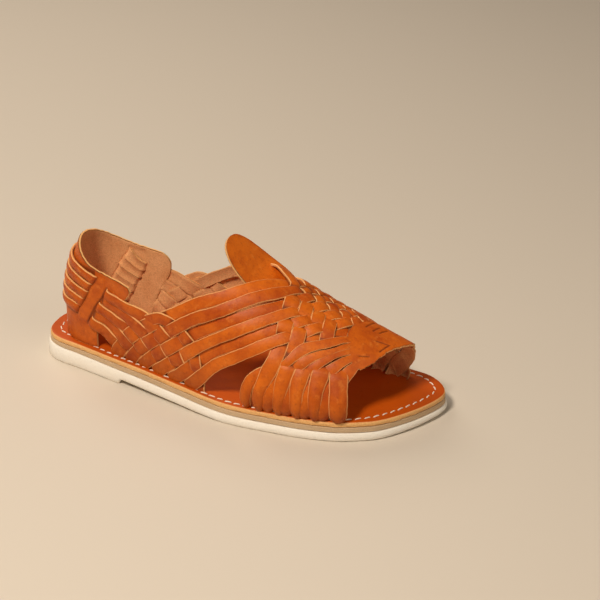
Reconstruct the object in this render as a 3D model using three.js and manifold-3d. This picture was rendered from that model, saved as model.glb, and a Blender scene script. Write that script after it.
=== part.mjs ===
// Woven leather huarache sandal, right shoe, EU size 42. Millimetres, +X to the toe, +Y to the inner
// (big-toe) side, +Z up. The origin is on the floor under the middle of the sole.
// The upper is made of 2 mm leather straps laid over the surface of a shoe last and joined where they
// cross, with a heel counter behind and a smooth toe plate in front. Its foot stands on the insole.
import * as THREE from 'three';
import Module from 'manifold-3d';
import { mergeVertices } from 'three/addons/utils/BufferGeometryUtils.js';

const wasm = await Module();
wasm.setup();

// Driving dimensions

const SOLE_LENGTH = 280;
const LEATHER = 2.0;             // wall of straps, counter and toe plate
const WEAVE_LIFT = 0.8;          // how far a strap rises or sinks where it crosses another
const TOE_STRIP_LIFT = -0.8;     // strips of the toe plate pass under the vamp straps
const HEEL_STRAP_LIFT = 1.3;     // heel straps lie outside the counter, and inside it behind the stay
const PIECE_GAP = 0.3;           // between pieces that touch
const INSOLE_THICKNESS = 3.5;
const MIDSOLE_HEEL = 2.8;
const MIDSOLE_FORE = 3.6;
const MIDSOLE_TAPER = 90;        // length over which it thickens, from the heel's back
const HEEL_BREAST = -75;         // x of the step at the front of the heel block
const WAIST_RISE = 3.6;          // height of that step
const WAIST_END = 12;            // x where the raised waist is back on the floor
const TOE_SPRING_START = 96;
const TOE_SPRING = 1.8;
const TONGUE_THICKNESS = 2.2;
const SLIVER = 0.08;             // edges shorter than this are closed up after the cuts
const SLIT_DEPTH = 3;            // straps are drawn this far into the footbed, then cut off at it
const SOLE_STEPS = 26;
const BREAST_SLOPE = 2;          // the heel step leans over this much
const EDGE_ROUND = 0.8;          // rounded upper edge of the insole
const TREAD_ROUND = 1.2;         // rounded lower edge of the outsole

// how far each layer of the sole stands out from the insole's outline, at its bottom, its widest and its top
const RIM = {
  outsole: { bottom: 1.4, widest: 2.3, top: 1.2 },
  midsole: { bottom: 0.9, top: 0.5 },
  insole: { bottom: 0.3, widest: 0.5, top: -0.3 },
};

// Tables. Each row is one station along the shoe.

// outline of the insole: x, middle line and half width
const OUTLINE = [
  { x: -140, middle: 4.4, half: 31.0 },
  { x: -110, middle: 6.7, half: 29.7 },
  { x: -70, middle: 0.7, half: 31.9 },
  { x: -30, middle: -3.0, half: 38.0 },
  { x: 10, middle: -5.6, half: 44.3 },
  { x: 50, middle: 0.6, half: 50.1 },
  { x: 70, middle: 0.9, half: 48.4 },
  { x: 90, middle: 1.9, half: 44.4 },
  { x: 110, middle: 5.5, half: 37.4 },
  { x: 125, middle: 12.5, half: 34.2 },
  { x: 140, middle: 19.5, half: 30.5 },
];
const HEEL_ROUND = { start: -80.4, power: 2.67 };
const TOE_ROUND = { start: 106.6, power: 1.72 };

// height of the insole's top
const FOOTBED = [
  { x: -140, z: 18.2 },
  { x: -56, z: 17.2 },
  { x: 14, z: 14.0 },
  { x: 140, z: 13.5 },
];

// sections of the last: ridge line y, ridge height over the footbed, insets of the wall's foot from the
// sole's rim, outward belly of the wall, and squareness of the outer and the inner side
const LAST = [
  { x: -90, ridge: 4.2, rise: 260, outer: 5.0, inner: 5.0, belly: 2.5, outerPower: 2.6, innerPower: 2.6 },
  { x: -60, ridge: 2.2, rise: 170, outer: 5.0, inner: 5.0, belly: 2.5, outerPower: 2.5, innerPower: 2.5 },
  { x: -30, ridge: 1.2, rise: 112, outer: 4.5, inner: 5.0, belly: 1.0, outerPower: 2.4, innerPower: 2.4 },
  { x: 0, ridge: 2.2, rise: 88, outer: 4.5, inner: 6.0, belly: 0.0, outerPower: 2.2, innerPower: 2.2 },
  { x: 30, ridge: 3.2, rise: 73, outer: 4.5, inner: 7.0, belly: 1.8, outerPower: 2.2, innerPower: 2.2 },
  { x: 60, ridge: 4.2, rise: 61.5, outer: 4.2, inner: 8.5, belly: 2.5, outerPower: 2.2, innerPower: 2.2 },
  { x: 90, ridge: 7.2, rise: 50, outer: 4.2, inner: 15.0, belly: 2.5, outerPower: 2.2, innerPower: 2.6 },
  { x: 120, ridge: 10.2, rise: 38, outer: 4.2, inner: 15.5, belly: 1.8, outerPower: 2.2, innerPower: 3.4 },
];
// the heel behind HEEL_START turns round a vertical axis
const HEEL_START = -90;
const HEEL_ARC = 56;             // length of a quarter turn in the strap charts
const HEEL = { footReach: 39.5, topReach: 27.5, belly: 5.5, footPower: 2.5, topPower: 1.85, height: 75 };
const HEEL_POWER_TOP = 1.2;      // the heel's roundness stays the same above this part of its height
const GIRTH_FROM = -15;          // behind this x the girth scale stays the same
const HEEL_GIRTH = 116;
const BACK = HEEL_START - HEEL_ARC;

// collar of the counter: chart place s and height over the footbed
const COLLAR = [
  { s: BACK, height: 75 },
  { s: -132, height: 72.5 },
  { s: -120, height: 68 },
  { s: -104, height: 62 },
  { s: -90, height: 58.5 },
  { s: -75, height: 57 },
  { s: -60, height: 54 },
];
// front edge of the counter, from its foot (up 0) to the collar (up 1)
const COUNTER_FRONT = [
  { up: 0, s: -80 },
  { up: 0.2, s: -84 },
  { up: 0.5, s: -78 },
  { up: 0.8, s: -70 },
  { up: 1, s: -67 },
];

// vamp straps: rear slit, low on the wall, collar height, instep, ridge crossing, then down the other
// side as a front loop. s runs along the shoe, and up is 0 at the footbed and 1 at the ridge.
const VAMP = [
  { slit: -80, low: -66, lowUp: 0.18, mid: -34, midUp: 0.41, high: 16.5, highUp: 0.77, neck: 30, neckUp: 0.93,
    ridge: 37, brow: 44, side: 44, cheek: 39, loop: 33.5 },
  { slit: -68, low: -57, lowUp: 0.13, mid: -25, midUp: 0.37, high: 19, highUp: 0.70, neck: 36, neckUp: 0.87,
    ridge: 46, brow: 53, side: 53, cheek: 50, loop: 47 },
  { slit: -58, low: -47, lowUp: 0.10, mid: -15.5, midUp: 0.34, high: 21, highUp: 0.62, neck: 43, neckUp: 0.82,
    ridge: 56, brow: 62, side: 62, cheek: 61.5, loop: 60 },
  { slit: -46, low: -36, lowUp: 0.08, mid: -6, midUp: 0.32, high: 23, highUp: 0.54, neck: 49, neckUp: 0.75,
    ridge: 66, brow: 71, side: 71, cheek: 73, loop: 73 },
  { slit: -33, low: -24, lowUp: 0.065, mid: -0.5, midUp: 0.26, high: 24.5, highUp: 0.48, neck: 54, neckUp: 0.69,
    ridge: 77, brow: 81, side: 82, cheek: 86, loop: 89 },
];
// the sixth vamp strap ends under the plait
const SHORT_VAMP = [[-19, 0], [-12, 0.06], [1, 0.17], [25.5, 0.415], [46, 0.55]];

// heel straps: height over the footbed at stations from the back to the slit, as [s, height]
const HEEL_STRAPS = [
  [[BACK, 57], [-120, 54.5], [-100, 50.5], [-88, 46], [-75, 42.5], [-58, 38], [-46, 33], [-37, 26.5],
    [-29, 17], [-22, 0]],
  [[BACK, 48.5], [-120, 47.5], [-102, 44.5], [-91, 39.5], [-80, 35.5], [-66, 31], [-54, 25], [-44, 16], [-34, 0]],
  [[BACK, 40.5], [-120, 40], [-104, 38], [-94, 33], [-82, 28], [-68, 22], [-57, 13], [-47, 0]],
  [[BACK, 33], [-120, 33], [-106, 31.5], [-97, 26.5], [-84, 21], [-72, 13], [-60, 0]],
  [[BACK, 25], [-120, 26], [-108, 25], [-100, 20.5], [-90, 15], [-82, 9], [-74, 0]],
];
// the strap that turns round the collar ahead of the counter
const TURNED_STRAP = [[-52, 37], [-41, 42.5], [-28, 38.5], [-20, 33], [-15, 26], [-12, 14], [-10, 0]];

// strips cut from the edge of the toe plate on the outer side, down to their slits, as [s, up]
const TOE_STRIPS = [
  [[90, 0.76], [75, 0.67], [59, 0.535], [47, 0.44], [38, 0.34], [31, 0.2], [27, 0]],
  [[91, 0.685], [75, 0.58], [63, 0.46], [52, 0.34], [45, 0.2], [41, 0]],
  [[92, 0.645], [80, 0.57], [70, 0.47], [63, 0.37], [57, 0.2], [54, 0]],
  [[96, 0.615], [88, 0.58], [80, 0.48], [74, 0.38], [69, 0.2], [67, 0]],
  [[98, 0.55], [93, 0.48], [87, 0.38], [82, 0.2], [80, 0]],
];
const INNER_SHIFT = 22;          // loops on the big-toe side stand this much nearer the toe
// the outer strips' first place, and how the inner strips' places follow from theirs
const INNER_START = { outer: 0.76, inner: 1.05, shift: -0.05 };

// toe plate: rear and front edge at stations across it, where across is below 0 on the outer side
const TOE_PLATE = [
  { across: -0.50, rear: 91, front: 99.5 },
  { across: -0.40, rear: 87, front: 105 },
  { across: -0.27, rear: 83, front: 110 },
  { across: -0.12, rear: 81, front: 114 },
  { across: 0, rear: 86, front: 118 },
  { across: 0.12, rear: 94, front: 119.5 },
  { across: 0.26, rear: 103, front: 119.8 },
];

// tongue: x, height of its middle line, half width, from its root under the plait to its tip
const TONGUE = [
  { x: 52, z: 68.0, half: 7.5 },
  { x: 40, z: 74.2, half: 10.0 },
  { x: 28, z: 79.6, half: 11.4 },
  { x: 16, z: 86.2, half: 11.6 },
  { x: 6, z: 94.2, half: 10.6 },
  { x: -1, z: 101.5, half: 8.0 },
  { x: -6, z: 107.0, half: 4.2 },
];
const TONGUE_DROP = 2.0;         // the tongue's edges lie this much lower where it is TONGUE_HALF to a side
const TONGUE_HALF = 10;

// visible width of a strap along its run, where at is 0 at its first end and 1 at its last
const VAMP_WIDTH = [
  { at: 0, width: 7.6 },
  { at: 0.25, width: 8.8 },
  { at: 0.5, width: 7.6 },
  { at: 0.62, width: 6.9 },
  { at: 0.8, width: 6.9 },
  { at: 1, width: 7.0 },
];
const HEEL_WIDTH = [
  { at: 0, width: 7.4 },
  { at: 0.4, width: 5.8 },
  { at: 0.7, width: 7.0 },
  { at: 1, width: 7.4 },
];
const TOE_WIDTH = [
  { at: 0, width: 3.2 },
  { at: 0.4, width: 5.6 },
  { at: 1, width: 6.6 },
];

const COLOURS = { strap: 0xb9602a, insole: 0xa8501d, midsole: 0xb9a184, outsole: 0xece2d2 };

// Interpolation

// smooth curve through the rows of a table, with the slope at a row taken from its neighbours
function along(table, key, column, at) {
  const last = table.length - 1;
  let i = 0;
  while (i < last - 1 && at > table[i + 1][key]) i += 1;
  const slope = (k) => {
    const a = table[Math.max(k - 1, 0)];
    const b = table[Math.min(k + 1, last)];
    return (b[column] - a[column]) / (b[key] - a[key]);
  };
  const [p, q] = [table[i], table[i + 1]];
  const w = q[key] - p[key];
  const u = THREE.MathUtils.clamp((at - p[key]) / w, 0, 1);
  const [u2, u3] = [u * u, u * u * u];
  return (2 * u3 - 3 * u2 + 1) * p[column] + (u3 - 2 * u2 + u) * w * slope(i)
    + (3 * u2 - 2 * u3) * q[column] + (u3 - u2) * w * slope(i + 1);
}

const clamp01 = (v) => THREE.MathUtils.clamp(v, 0, 1);

// Sole

function endRounding(x) {
  const heel = clamp01((HEEL_ROUND.start - x) / (HEEL_ROUND.start + SOLE_LENGTH / 2));
  const toe = clamp01((x - TOE_ROUND.start) / (SOLE_LENGTH / 2 - TOE_ROUND.start));
  const round = (t, power) => (1 - t ** power) ** (1 / power);
  return round(heel, HEEL_ROUND.power) * round(toe, TOE_ROUND.power);
}

// y of the sole's rim, side -1 for the outer (little-toe) side and 1 for the inner side
function rim(x, side) {
  return along(OUTLINE, 'x', 'middle', x) + side * along(OUTLINE, 'x', 'half', x) * endRounding(x);
}

function footbed(x) {
  let i = 0;
  while (i < FOOTBED.length - 2 && x > FOOTBED[i + 1].x) i += 1;
  const t = clamp01((x - FOOTBED[i].x) / (FOOTBED[i + 1].x - FOOTBED[i].x));
  return THREE.MathUtils.lerp(FOOTBED[i].z, FOOTBED[i + 1].z, t);
}

const insoleBottom = (x) => footbed(x) - INSOLE_THICKNESS;
const midsoleTop = (x) => insoleBottom(x) - PIECE_GAP;
const midsoleBottom = (x) => {
  const t = clamp01((x + SOLE_LENGTH / 2) / MIDSOLE_TAPER);
  return midsoleTop(x) - THREE.MathUtils.lerp(MIDSOLE_HEEL, MIDSOLE_FORE, t);
};
const outsoleTop = (x) => midsoleBottom(x) - PIECE_GAP;
const tread = (x) => {
  if (x <= HEEL_BREAST) return 0;
  if (x < WAIST_END) return WAIST_RISE * (WAIST_END - x) / (WAIST_END - HEEL_BREAST - BREAST_SLOPE);
  const t = Math.max(x - TOE_SPRING_START, 0) / (SOLE_LENGTH / 2 - TOE_SPRING_START);
  return TOE_SPRING * t * t;
};

// stations lie closer together towards the heel and the toe
const STATION_GAP = 0.9;
const evenStations = Array.from({ length: SOLE_STEPS + 1 }, (_, i) => {
  return -SOLE_LENGTH / 2 * Math.cos(Math.PI * i / SOLE_STEPS);
});
const soleStations = [...evenStations, HEEL_BREAST, HEEL_BREAST + BREAST_SLOPE, WAIST_END]
  .sort((a, b) => a - b)
  .filter((x, i, all) => i === 0 || x - all[i - 1] > STATION_GAP);

// one ring of points round the sole: outer rim from heel to toe, then inner rim back to the heel
function soleRing(spread, height) {
  const outer = soleStations.map((x) => new THREE.Vector2(x, rim(x, -1)));
  const inner = soleStations.slice(1, -1).reverse().map((x) => new THREE.Vector2(x, rim(x, 1)));
  const loop = [...outer, ...inner];
  const n = loop.length;
  return loop.map((p, i) => {
    const tangent = loop[(i + 1) % n].clone().sub(loop[(i + n - 1) % n]).normalize();
    return new THREE.Vector3(p.x + tangent.y * spread, p.y - tangent.x * spread, height(p.x));
  });
}

// closed slab between rings of the sole, lowest ring first
function slab(rings) {
  const n = rings[0].length;
  const points = rings.flat();
  const index = [];
  for (let level = 0; level < rings.length - 1; level += 1) {
    for (let i = 0; i < n; i += 1) {
      const [a, b] = [level * n + i, level * n + (i + 1) % n];
      index.push(a, b, b + n, a, b + n, a + n);
    }
  }
  const top = (rings.length - 1) * n;
  const heel = 0;
  const toe = soleStations.length - 1;
  for (let i = heel; i < toe; i += 1) {
    const [o1, o2] = [i, i + 1];
    const [n1, n2] = [(n - i) % n, n - i - 1];
    if (o1 !== n1) {
      index.push(o1, n1, o2);
      index.push(top + o1, top + o2, top + n1);
    }
    if (o2 !== n2) {
      index.push(o2, n1, n2);
      index.push(top + o2, top + n2, top + n1);
    }
  }
  return geometryOf(points, index);
}

function geometryOf(points, index) {
  const geometry = new THREE.BufferGeometry();
  geometry.setAttribute('position', new THREE.Float32BufferAttribute(points.flatMap((p) => [p.x, p.y, p.z]), 3));
  geometry.setIndex(index);
  return geometry;
}

// Last

// profile of one side of the last at x: points [width from the ridge line, height over the footbed]
const PROFILE_STEPS = 40;
const BELLY_TOP = 0.8;           // the wall's belly ends at this part of the ridge height
function profile(x, side) {
  const value = (column) => along(LAST, 'x', column, x);
  const [ridge, rise, belly] = ['ridge', 'rise', 'belly'].map(value);
  const power = value(side < 0 ? 'outerPower' : 'innerPower');
  const foot = side < 0 ? ridge - (rim(x, -1) + value('outer')) : rim(x, 1) - value('inner') - ridge;
  const points = [];
  for (let i = 0; i <= PROFILE_STEPS; i += 1) {
    const angle = Math.PI / 2 * i / PROFILE_STEPS;
    const height = rise * Math.sin(angle) ** (2 / power);
    const bulge = belly * Math.sin(Math.PI * clamp01(height / rise / BELLY_TOP));
    const cosine = Math.max(Math.cos(angle), 0);
    points.push([(foot + bulge) * cosine ** (2 / power), height]);
  }
  return { ridge, points };
}

function girth(s, side) {
  const { points } = profile(Math.max(s, GIRTH_FROM), side);
  let sum = 0;
  for (let i = 1; i < points.length; i += 1) {
    sum += Math.hypot(points[i][0] - points[i - 1][0], points[i][1] - points[i - 1][1]);
  }
  return sum;
}

// point of the last at chart place s and across, where across runs from -1 (outer foot) over 0 (ridge)
// to 1 (inner foot). Behind HEEL_START the sections turn round the heel.
function onLast(s, across) {
  const side = across < 0 ? -1 : 1;
  const x = Math.max(s, HEEL_START);
  const { ridge, points } = profile(x, side);
  let left = (1 - Math.abs(across)) * girth(s, side);
  let [width, height] = points[0];
  if (left < 0) height = left;
  for (let i = 1; i < points.length && left > 0; i += 1) {
    const step = Math.hypot(points[i][0] - points[i - 1][0], points[i][1] - points[i - 1][1]);
    const t = Math.min(left / step, 1);
    width = THREE.MathUtils.lerp(points[i - 1][0], points[i][0], t);
    height = THREE.MathUtils.lerp(points[i - 1][1], points[i][1], t);
    left -= step;
  }
  if (s >= HEEL_START) return new THREE.Vector3(s, ridge + side * width, footbed(s) + height);
  const turn = clamp01((s - BACK) / HEEL_ARC) * Math.PI / 2;
  const up = height / HEEL.height;
  const bulge = HEEL.belly * Math.sin(Math.PI * clamp01(up));
  const reach = HEEL.footReach + (HEEL.topReach - HEEL.footReach) * up + bulge;
  const power = HEEL.footPower + (HEEL.topPower - HEEL.footPower) * THREE.MathUtils.clamp(up, 0, HEEL_POWER_TOP);
  const px = HEEL_START - reach * Math.cos(turn) ** (2 / power);
  return new THREE.Vector3(px, ridge + side * width * Math.sin(turn) ** (2 / power), footbed(px) + height);
}

// outward normal of the last
const PROBE = { s: 0.5, across: 0.004 };
const FOOT = 0.99;               // places beyond this part of the girth count as the strap's foot
function normalAt(s, across) {
  const ds = onLast(s + PROBE.s, across).sub(onLast(s - PROBE.s, across));
  const edge = THREE.MathUtils.clamp(across, -FOOT, FOOT);
  const da = onLast(s, edge + PROBE.across).sub(onLast(s, edge - PROBE.across));
  return ds.cross(da).normalize();
}

// Straps

// a strap's middle line in the chart, as a smooth curve through its stations
const CHART_GIRTH = 100;         // half the girth, roughly, to weigh across against s
function chartCurve(nodes) {
  let run = 0;
  const rows = nodes.map(([s, across], i) => {
    if (i > 0) run += Math.hypot(s - nodes[i - 1][0], (across - nodes[i - 1][1]) * CHART_GIRTH);
    return { run, s, across };
  });
  const at = (run) => [along(rows, 'run', 's', run), along(rows, 'run', 'across', run)];
  return { length: run, at };
}

const upToAcross = (side) => ([s, up]) => [s, side * (1 - up)];
const heightToAcross = (side) => ([s, height]) => [s, side * (1 - height / HEEL_GIRTH)];
const loopShift = (side, across) => (side > 0 ? INNER_SHIFT * across * across : 0);

// where the front loops' stations lie, as parts of the way down from the ridge
const LOOP_DOWN = { brow: 0.3, side: 0.45, cheek: 0.68, loop: 1 };
function vampNodes(row, side) {
  const front = Object.entries(LOOP_DOWN).map(([column, down]) => [row[column], down]);
  return [
    [row.slit, side],
    [row.low, side * (1 - row.lowUp)],
    [row.mid, side * (1 - row.midUp)],
    [row.high, side * (1 - row.highUp)],
    [row.neck, side * (1 - row.neckUp)],
    [row.ridge, 0],
    ...front.map(([s, a]) => [s + loopShift(-side, a), -side * a]),
  ];
}

function toeStripNodes(row, side) {
  if (side < 0) return row.map(upToAcross(-1));
  return row.map(([s, up]) => {
    const down = (INNER_START.outer - up) / INNER_START.outer;
    return [s + INNER_SHIFT * down * down, INNER_START.inner * down + INNER_START.shift];
  });
}

function makeStrip(family, order, nodes, widths) {
  return { family, order, curve: chartCurve(nodes), widths, lifts: [] };
}

const strips = [];
for (const side of [-1, 1]) {
  const name = side < 0 ? 'Outer' : 'Inner';
  VAMP.forEach((row, k) => strips.push(makeStrip(`vamp${name}`, k + 1, vampNodes(row, side), VAMP_WIDTH)));
  strips.push(makeStrip(`vamp${name}`, VAMP.length + 1, SHORT_VAMP.map(upToAcross(side)), VAMP_WIDTH));
  strips.push(makeStrip(`heel${name}`, 0, TURNED_STRAP.map(heightToAcross(side)), HEEL_WIDTH));
  TOE_STRIPS.forEach((row, k) => strips.push(makeStrip(`toe${name}`, k, toeStripNodes(row, side), TOE_WIDTH)));
}
HEEL_STRAPS.forEach((row, k) => {
  for (const side of [-1, 1]) {
    strips.push(makeStrip(`heel${side < 0 ? 'Outer' : 'Inner'}`, k + 1, row.map(heightToAcross(side)), HEEL_WIDTH));
  }
});

// where two strips cross in the chart, as [run of a, run of b], or null
const CROSS_STEPS = 36;
function crossing(a, b) {
  const sample = ({ curve }) => Array.from({ length: CROSS_STEPS + 1 }, (_, i) => {
    return curve.at(curve.length * i / CROSS_STEPS);
  });
  a.samples ??= sample(a);
  b.samples ??= sample(b);
  for (let i = 0; i < CROSS_STEPS; i += 1) {
    const [p, p2] = [a.samples[i], a.samples[i + 1]];
    for (let j = 0; j < CROSS_STEPS; j += 1) {
      const [q, q2] = [b.samples[j], b.samples[j + 1]];
      const [rx, ry, sx, sy] = [p2[0] - p[0], p2[1] - p[1], q2[0] - q[0], q2[1] - q[1]];
      const det = rx * sy - ry * sx;
      if (Math.abs(det) < 1e-9) continue;
      const t = ((q[0] - p[0]) * sy - (q[1] - p[1]) * sx) / det;
      const u = ((q[0] - p[0]) * ry - (q[1] - p[1]) * rx) / det;
      if (t < 0 || t >= 1 || u < 0 || u >= 1) continue;
      return [(i + t) / CROSS_STEPS * a.curve.length, (j + u) / CROSS_STEPS * b.curve.length];
    }
  }
  return null;
}

// over and under: the sum of the two strips' places in their families decides who is on top
for (let i = 0; i < strips.length; i += 1) {
  for (let j = i + 1; j < strips.length; j += 1) {
    const [a, b] = [strips[i], strips[j]];
    if (a.family === b.family || a.family.startsWith('toe') || b.family.startsWith('toe')) continue;
    const hit = crossing(a, b);
    if (!hit) continue;
    const aOver = (a.order + b.order) % 2 === 0;
    a.lifts.push({ run: hit[0], lift: aOver ? WEAVE_LIFT : -WEAVE_LIFT });
    b.lifts.push({ run: hit[1], lift: aOver ? -WEAVE_LIFT : WEAVE_LIFT });
  }
}

// heel straps lie on the counter, and pass inside it between their two slits
const REAR_SLIT = { s: -100, step: -2.6, reach: 5 };
const FRONT_SLIT = { s: -87, step: -3.0, reach: 7 };
const RUN_STEPS = 200;
function counterLifts(strip) {
  if (!strip.family.startsWith('heel') || strip.order === 0) return;
  const runAt = (s) => {
    let best = 0;
    for (let i = 0; i <= RUN_STEPS; i += 1) {
      const run = strip.curve.length * i / RUN_STEPS;
      if (strip.curve.at(run)[0] <= s) best = run;
    }
    return best;
  };
  const k = strip.order - 1;
  const rear = REAR_SLIT.s + REAR_SLIT.step * k;
  const front = FRONT_SLIT.s + FRONT_SLIT.step * k;
  strip.lifts.push({ run: 0, lift: HEEL_STRAP_LIFT });
  strip.lifts.push({ run: runAt(rear - REAR_SLIT.reach), lift: HEEL_STRAP_LIFT });
  strip.lifts.push({ run: runAt((rear + front) / 2), lift: -HEEL_STRAP_LIFT });
  strip.lifts.push({ run: runAt(front + FRONT_SLIT.reach), lift: HEEL_STRAP_LIFT });
}
strips.forEach(counterLifts);
// toe strips start in the plate and sink under the vamp straps
const SUNK_FROM = 0.3;
strips.filter((strip) => strip.family.startsWith('toe')).forEach((strip) => {
  strip.lifts.push({ run: strip.curve.length * SUNK_FROM, lift: TOE_STRIP_LIFT }, { run: 0, lift: 0 });
});

function liftAt(strip, run) {
  const rows = strip.lifts;
  if (rows.length === 0) return 0;
  if (run <= rows[0].run) return rows[0].lift;
  for (let i = 1; i < rows.length; i += 1) {
    if (run <= rows[i].run) {
      const t = (run - rows[i - 1].run) / (rows[i].run - rows[i - 1].run);
      return THREE.MathUtils.lerp(rows[i - 1].lift, rows[i].lift, t * t * (3 - 2 * t));
    }
  }
  return rows[rows.length - 1].lift;
}

// a strap as a closed band with four corners at each station
const STATION_STEP = 20;
const STATION_MERGE = 5;
function bandOf(strip) {
  strip.lifts.sort((a, b) => a.run - b.run);
  const { length, at } = strip.curve;
  const marks = [0, length, ...strip.lifts.map((l) => l.run)].sort((a, b) => a - b);
  const runs = [];
  marks.forEach((run, i) => {
    if (i > 0) {
      const span = run - marks[i - 1];
      const parts = Math.ceil(span / STATION_STEP);
      for (let k = 1; k < parts; k += 1) runs.push(marks[i - 1] + span * k / parts);
    }
    if (runs.length === 0 || run - runs[runs.length - 1] > STATION_MERGE) runs.push(run);
  });
  if (runs[runs.length - 1] < length) runs[runs.length - 1] = length;
  const points = [];
  const index = [];
  runs.forEach((run, i) => {
    const [s, across] = at(run);
    const before = onLast(...at(Math.max(run - PROBE.s, 0)));
    const after = onLast(...at(Math.min(run + PROBE.s, length)));
    const tangent = after.sub(before).normalize();
    const normal = normalAt(s, across);
    const sideways = new THREE.Vector3().crossVectors(normal, tangent).normalize();
    const middle = onLast(s, across).addScaledVector(normal, liftAt(strip, run));
    if (Math.abs(across) > FOOT) middle.z -= SLIT_DEPTH;
    const width = along(strip.widths, 'at', 'width', run / length);
    for (const [w, t] of [[-1, -1], [1, -1], [1, 1], [-1, 1]]) {
      points.push(middle.clone()
        .addScaledVector(sideways, w * width / 2)
        .addScaledVector(normal, t * LEATHER / 2));
    }
    if (i > 0) {
      for (let c = 0; c < 4; c += 1) {
        const [a, b] = [(i - 1) * 4 + c, (i - 1) * 4 + (c + 1) % 4];
        index.push(a, b, b + 4, a, b + 4, a + 4);
      }
    }
  });
  const end = (runs.length - 1) * 4;
  index.push(0, 2, 1, 0, 3, 2, end, end + 1, end + 2, end, end + 2, end + 3);
  return geometryOf(points, index);
}

// a sheet of leather over the last, from a grid of chart places
function sheetOf(grid) {
  const rows = grid.length;
  const columns = grid[0].length;
  const half = LEATHER / 2;
  const layer = (offset) => grid.flat().map(([s, across]) => {
    return onLast(s, across).addScaledVector(normalAt(s, across), offset);
  });
  const points = [...layer(half), ...layer(-half)];
  const under = rows * columns;
  const index = [];
  const id = (i, j) => i * columns + j;
  for (let i = 0; i < rows - 1; i += 1) {
    for (let j = 0; j < columns - 1; j += 1) {
      const [a, b, c, d] = [id(i, j), id(i, j + 1), id(i + 1, j + 1), id(i + 1, j)];
      index.push(a, b, c, a, c, d);
      index.push(under + a, under + c, under + b, under + a, under + d, under + c);
    }
  }
  const border = [];
  for (let j = 0; j < columns - 1; j += 1) border.push(id(0, j));
  for (let i = 0; i < rows - 1; i += 1) border.push(id(i, columns - 1));
  for (let j = columns - 1; j > 0; j -= 1) border.push(id(rows - 1, j));
  for (let i = rows - 1; i > 0; i -= 1) border.push(id(i, 0));
  border.forEach((a, k) => {
    const b = border[(k + 1) % border.length];
    index.push(a, under + a, under + b, a, under + b, b);
  });
  return geometryOf(points, index);
}

// counter: from its front edge on the inner side round the back to the outer side
const COUNTER_ROWS = 6;
const COUNTER_COLUMNS = 26;
const COUNTER_FOOT = 0.6;
function counterGrid() {
  const grid = [];
  for (let i = 0; i <= COUNTER_ROWS; i += 1) {
    const up = i / COUNTER_ROWS;
    const front = along(COUNTER_FRONT, 'up', 's', up);
    const row = [];
    for (let j = 0; j <= COUNTER_COLUMNS; j += 1) {
      const t = 1 - j / COUNTER_COLUMNS * 2;
      const s = BACK + (front - BACK) * Math.abs(t);
      const height = COUNTER_FOOT + (along(COLLAR, 's', 'height', s) - COUNTER_FOOT) * up;
      row.push([s, (t < 0 ? -1 : 1) * (1 - height / HEEL_GIRTH)]);
    }
    grid.push(row);
  }
  return grid;
}

const PLATE_ROWS = 12;
const PLATE_COLUMNS = 3;
function plateGrid() {
  const [first, last] = [TOE_PLATE[0].across, TOE_PLATE[TOE_PLATE.length - 1].across];
  const grid = [];
  for (let i = 0; i <= PLATE_ROWS; i += 1) {
    const across = THREE.MathUtils.lerp(first, last, i / PLATE_ROWS);
    const [rear, front] = ['rear', 'front'].map((column) => along(TOE_PLATE, 'across', column, across));
    const row = [];
    for (let j = 0; j <= PLATE_COLUMNS; j += 1) {
      row.push([THREE.MathUtils.lerp(rear, front, j / PLATE_COLUMNS), across]);
    }
    grid.push(row);
  }
  return grid;
}

// Tongue: a bent leaf of leather
const TONGUE_STEPS = 12;
function tongueGeometry() {
  const [root, tip] = [TONGUE[0].x, TONGUE[TONGUE.length - 1].x];
  const rising = [...TONGUE].reverse();
  const corners = [-1, -0.5, 0, 0.5, 1];
  const points = [];
  const index = [];
  const ring = corners.length * 2;
  for (let i = 0; i <= TONGUE_STEPS; i += 1) {
    const x = THREE.MathUtils.lerp(root, tip, i / TONGUE_STEPS);
    const [z, half] = ['z', 'half'].map((column) => along(rising, 'x', column, x));
    const slope = along(rising, 'x', 'z', x + 1) - along(rising, 'x', 'z', x - 1);
    const normal = new THREE.Vector3(-slope, 0, 2).normalize();
    const y = along(LAST, 'x', 'ridge', x);
    for (const layer of [-1, 1]) {
      for (const corner of layer < 0 ? corners : [...corners].reverse()) {
        const drop = TONGUE_DROP * corner * corner * half / TONGUE_HALF;
        const middle = new THREE.Vector3(x, y + corner * half, z - drop);
        points.push(middle.addScaledVector(normal, layer * TONGUE_THICKNESS / 2));
      }
    }
    if (i > 0) {
      for (let c = 0; c < ring; c += 1) {
        const [a, b] = [(i - 1) * ring + c, (i - 1) * ring + (c + 1) % ring];
        index.push(a, b + ring, b, a, a + ring, b + ring);
      }
    }
  }
  const end = TONGUE_STEPS * ring;
  for (let c = 1; c < ring - 1; c += 1) {
    index.push(0, c, c + 1);
    index.push(end, end + c + 1, end + c);
  }
  return geometryOf(points, index);
}

// Solids

function solidOf(geometry) {
  const welded = mergeVertices(geometry, 1e-4);
  const mesh = new wasm.Mesh({
    numProp: 3,
    vertProperties: Float32Array.from(welded.attributes.position.array),
    triVerts: Uint32Array.from(welded.index.array),
  });
  return new wasm.Manifold(mesh);
}

function geometryFrom(solid) {
  const mesh = solid.getMesh();
  const geometry = new THREE.BufferGeometry();
  geometry.setAttribute('position', new THREE.BufferAttribute(Float32Array.from(mesh.vertProperties), 3));
  geometry.setIndex(new THREE.BufferAttribute(Uint32Array.from(mesh.triVerts), 1));
  return geometry;
}

const part = new THREE.Group();

function addPiece(name, geometry, color, roughness) {
  geometry.computeVertexNormals();
  const mesh = new THREE.Mesh(geometry, new THREE.MeshStandardMaterial({ color, roughness, metalness: 0 }));
  mesh.name = name;
  part.add(mesh);
}

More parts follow.
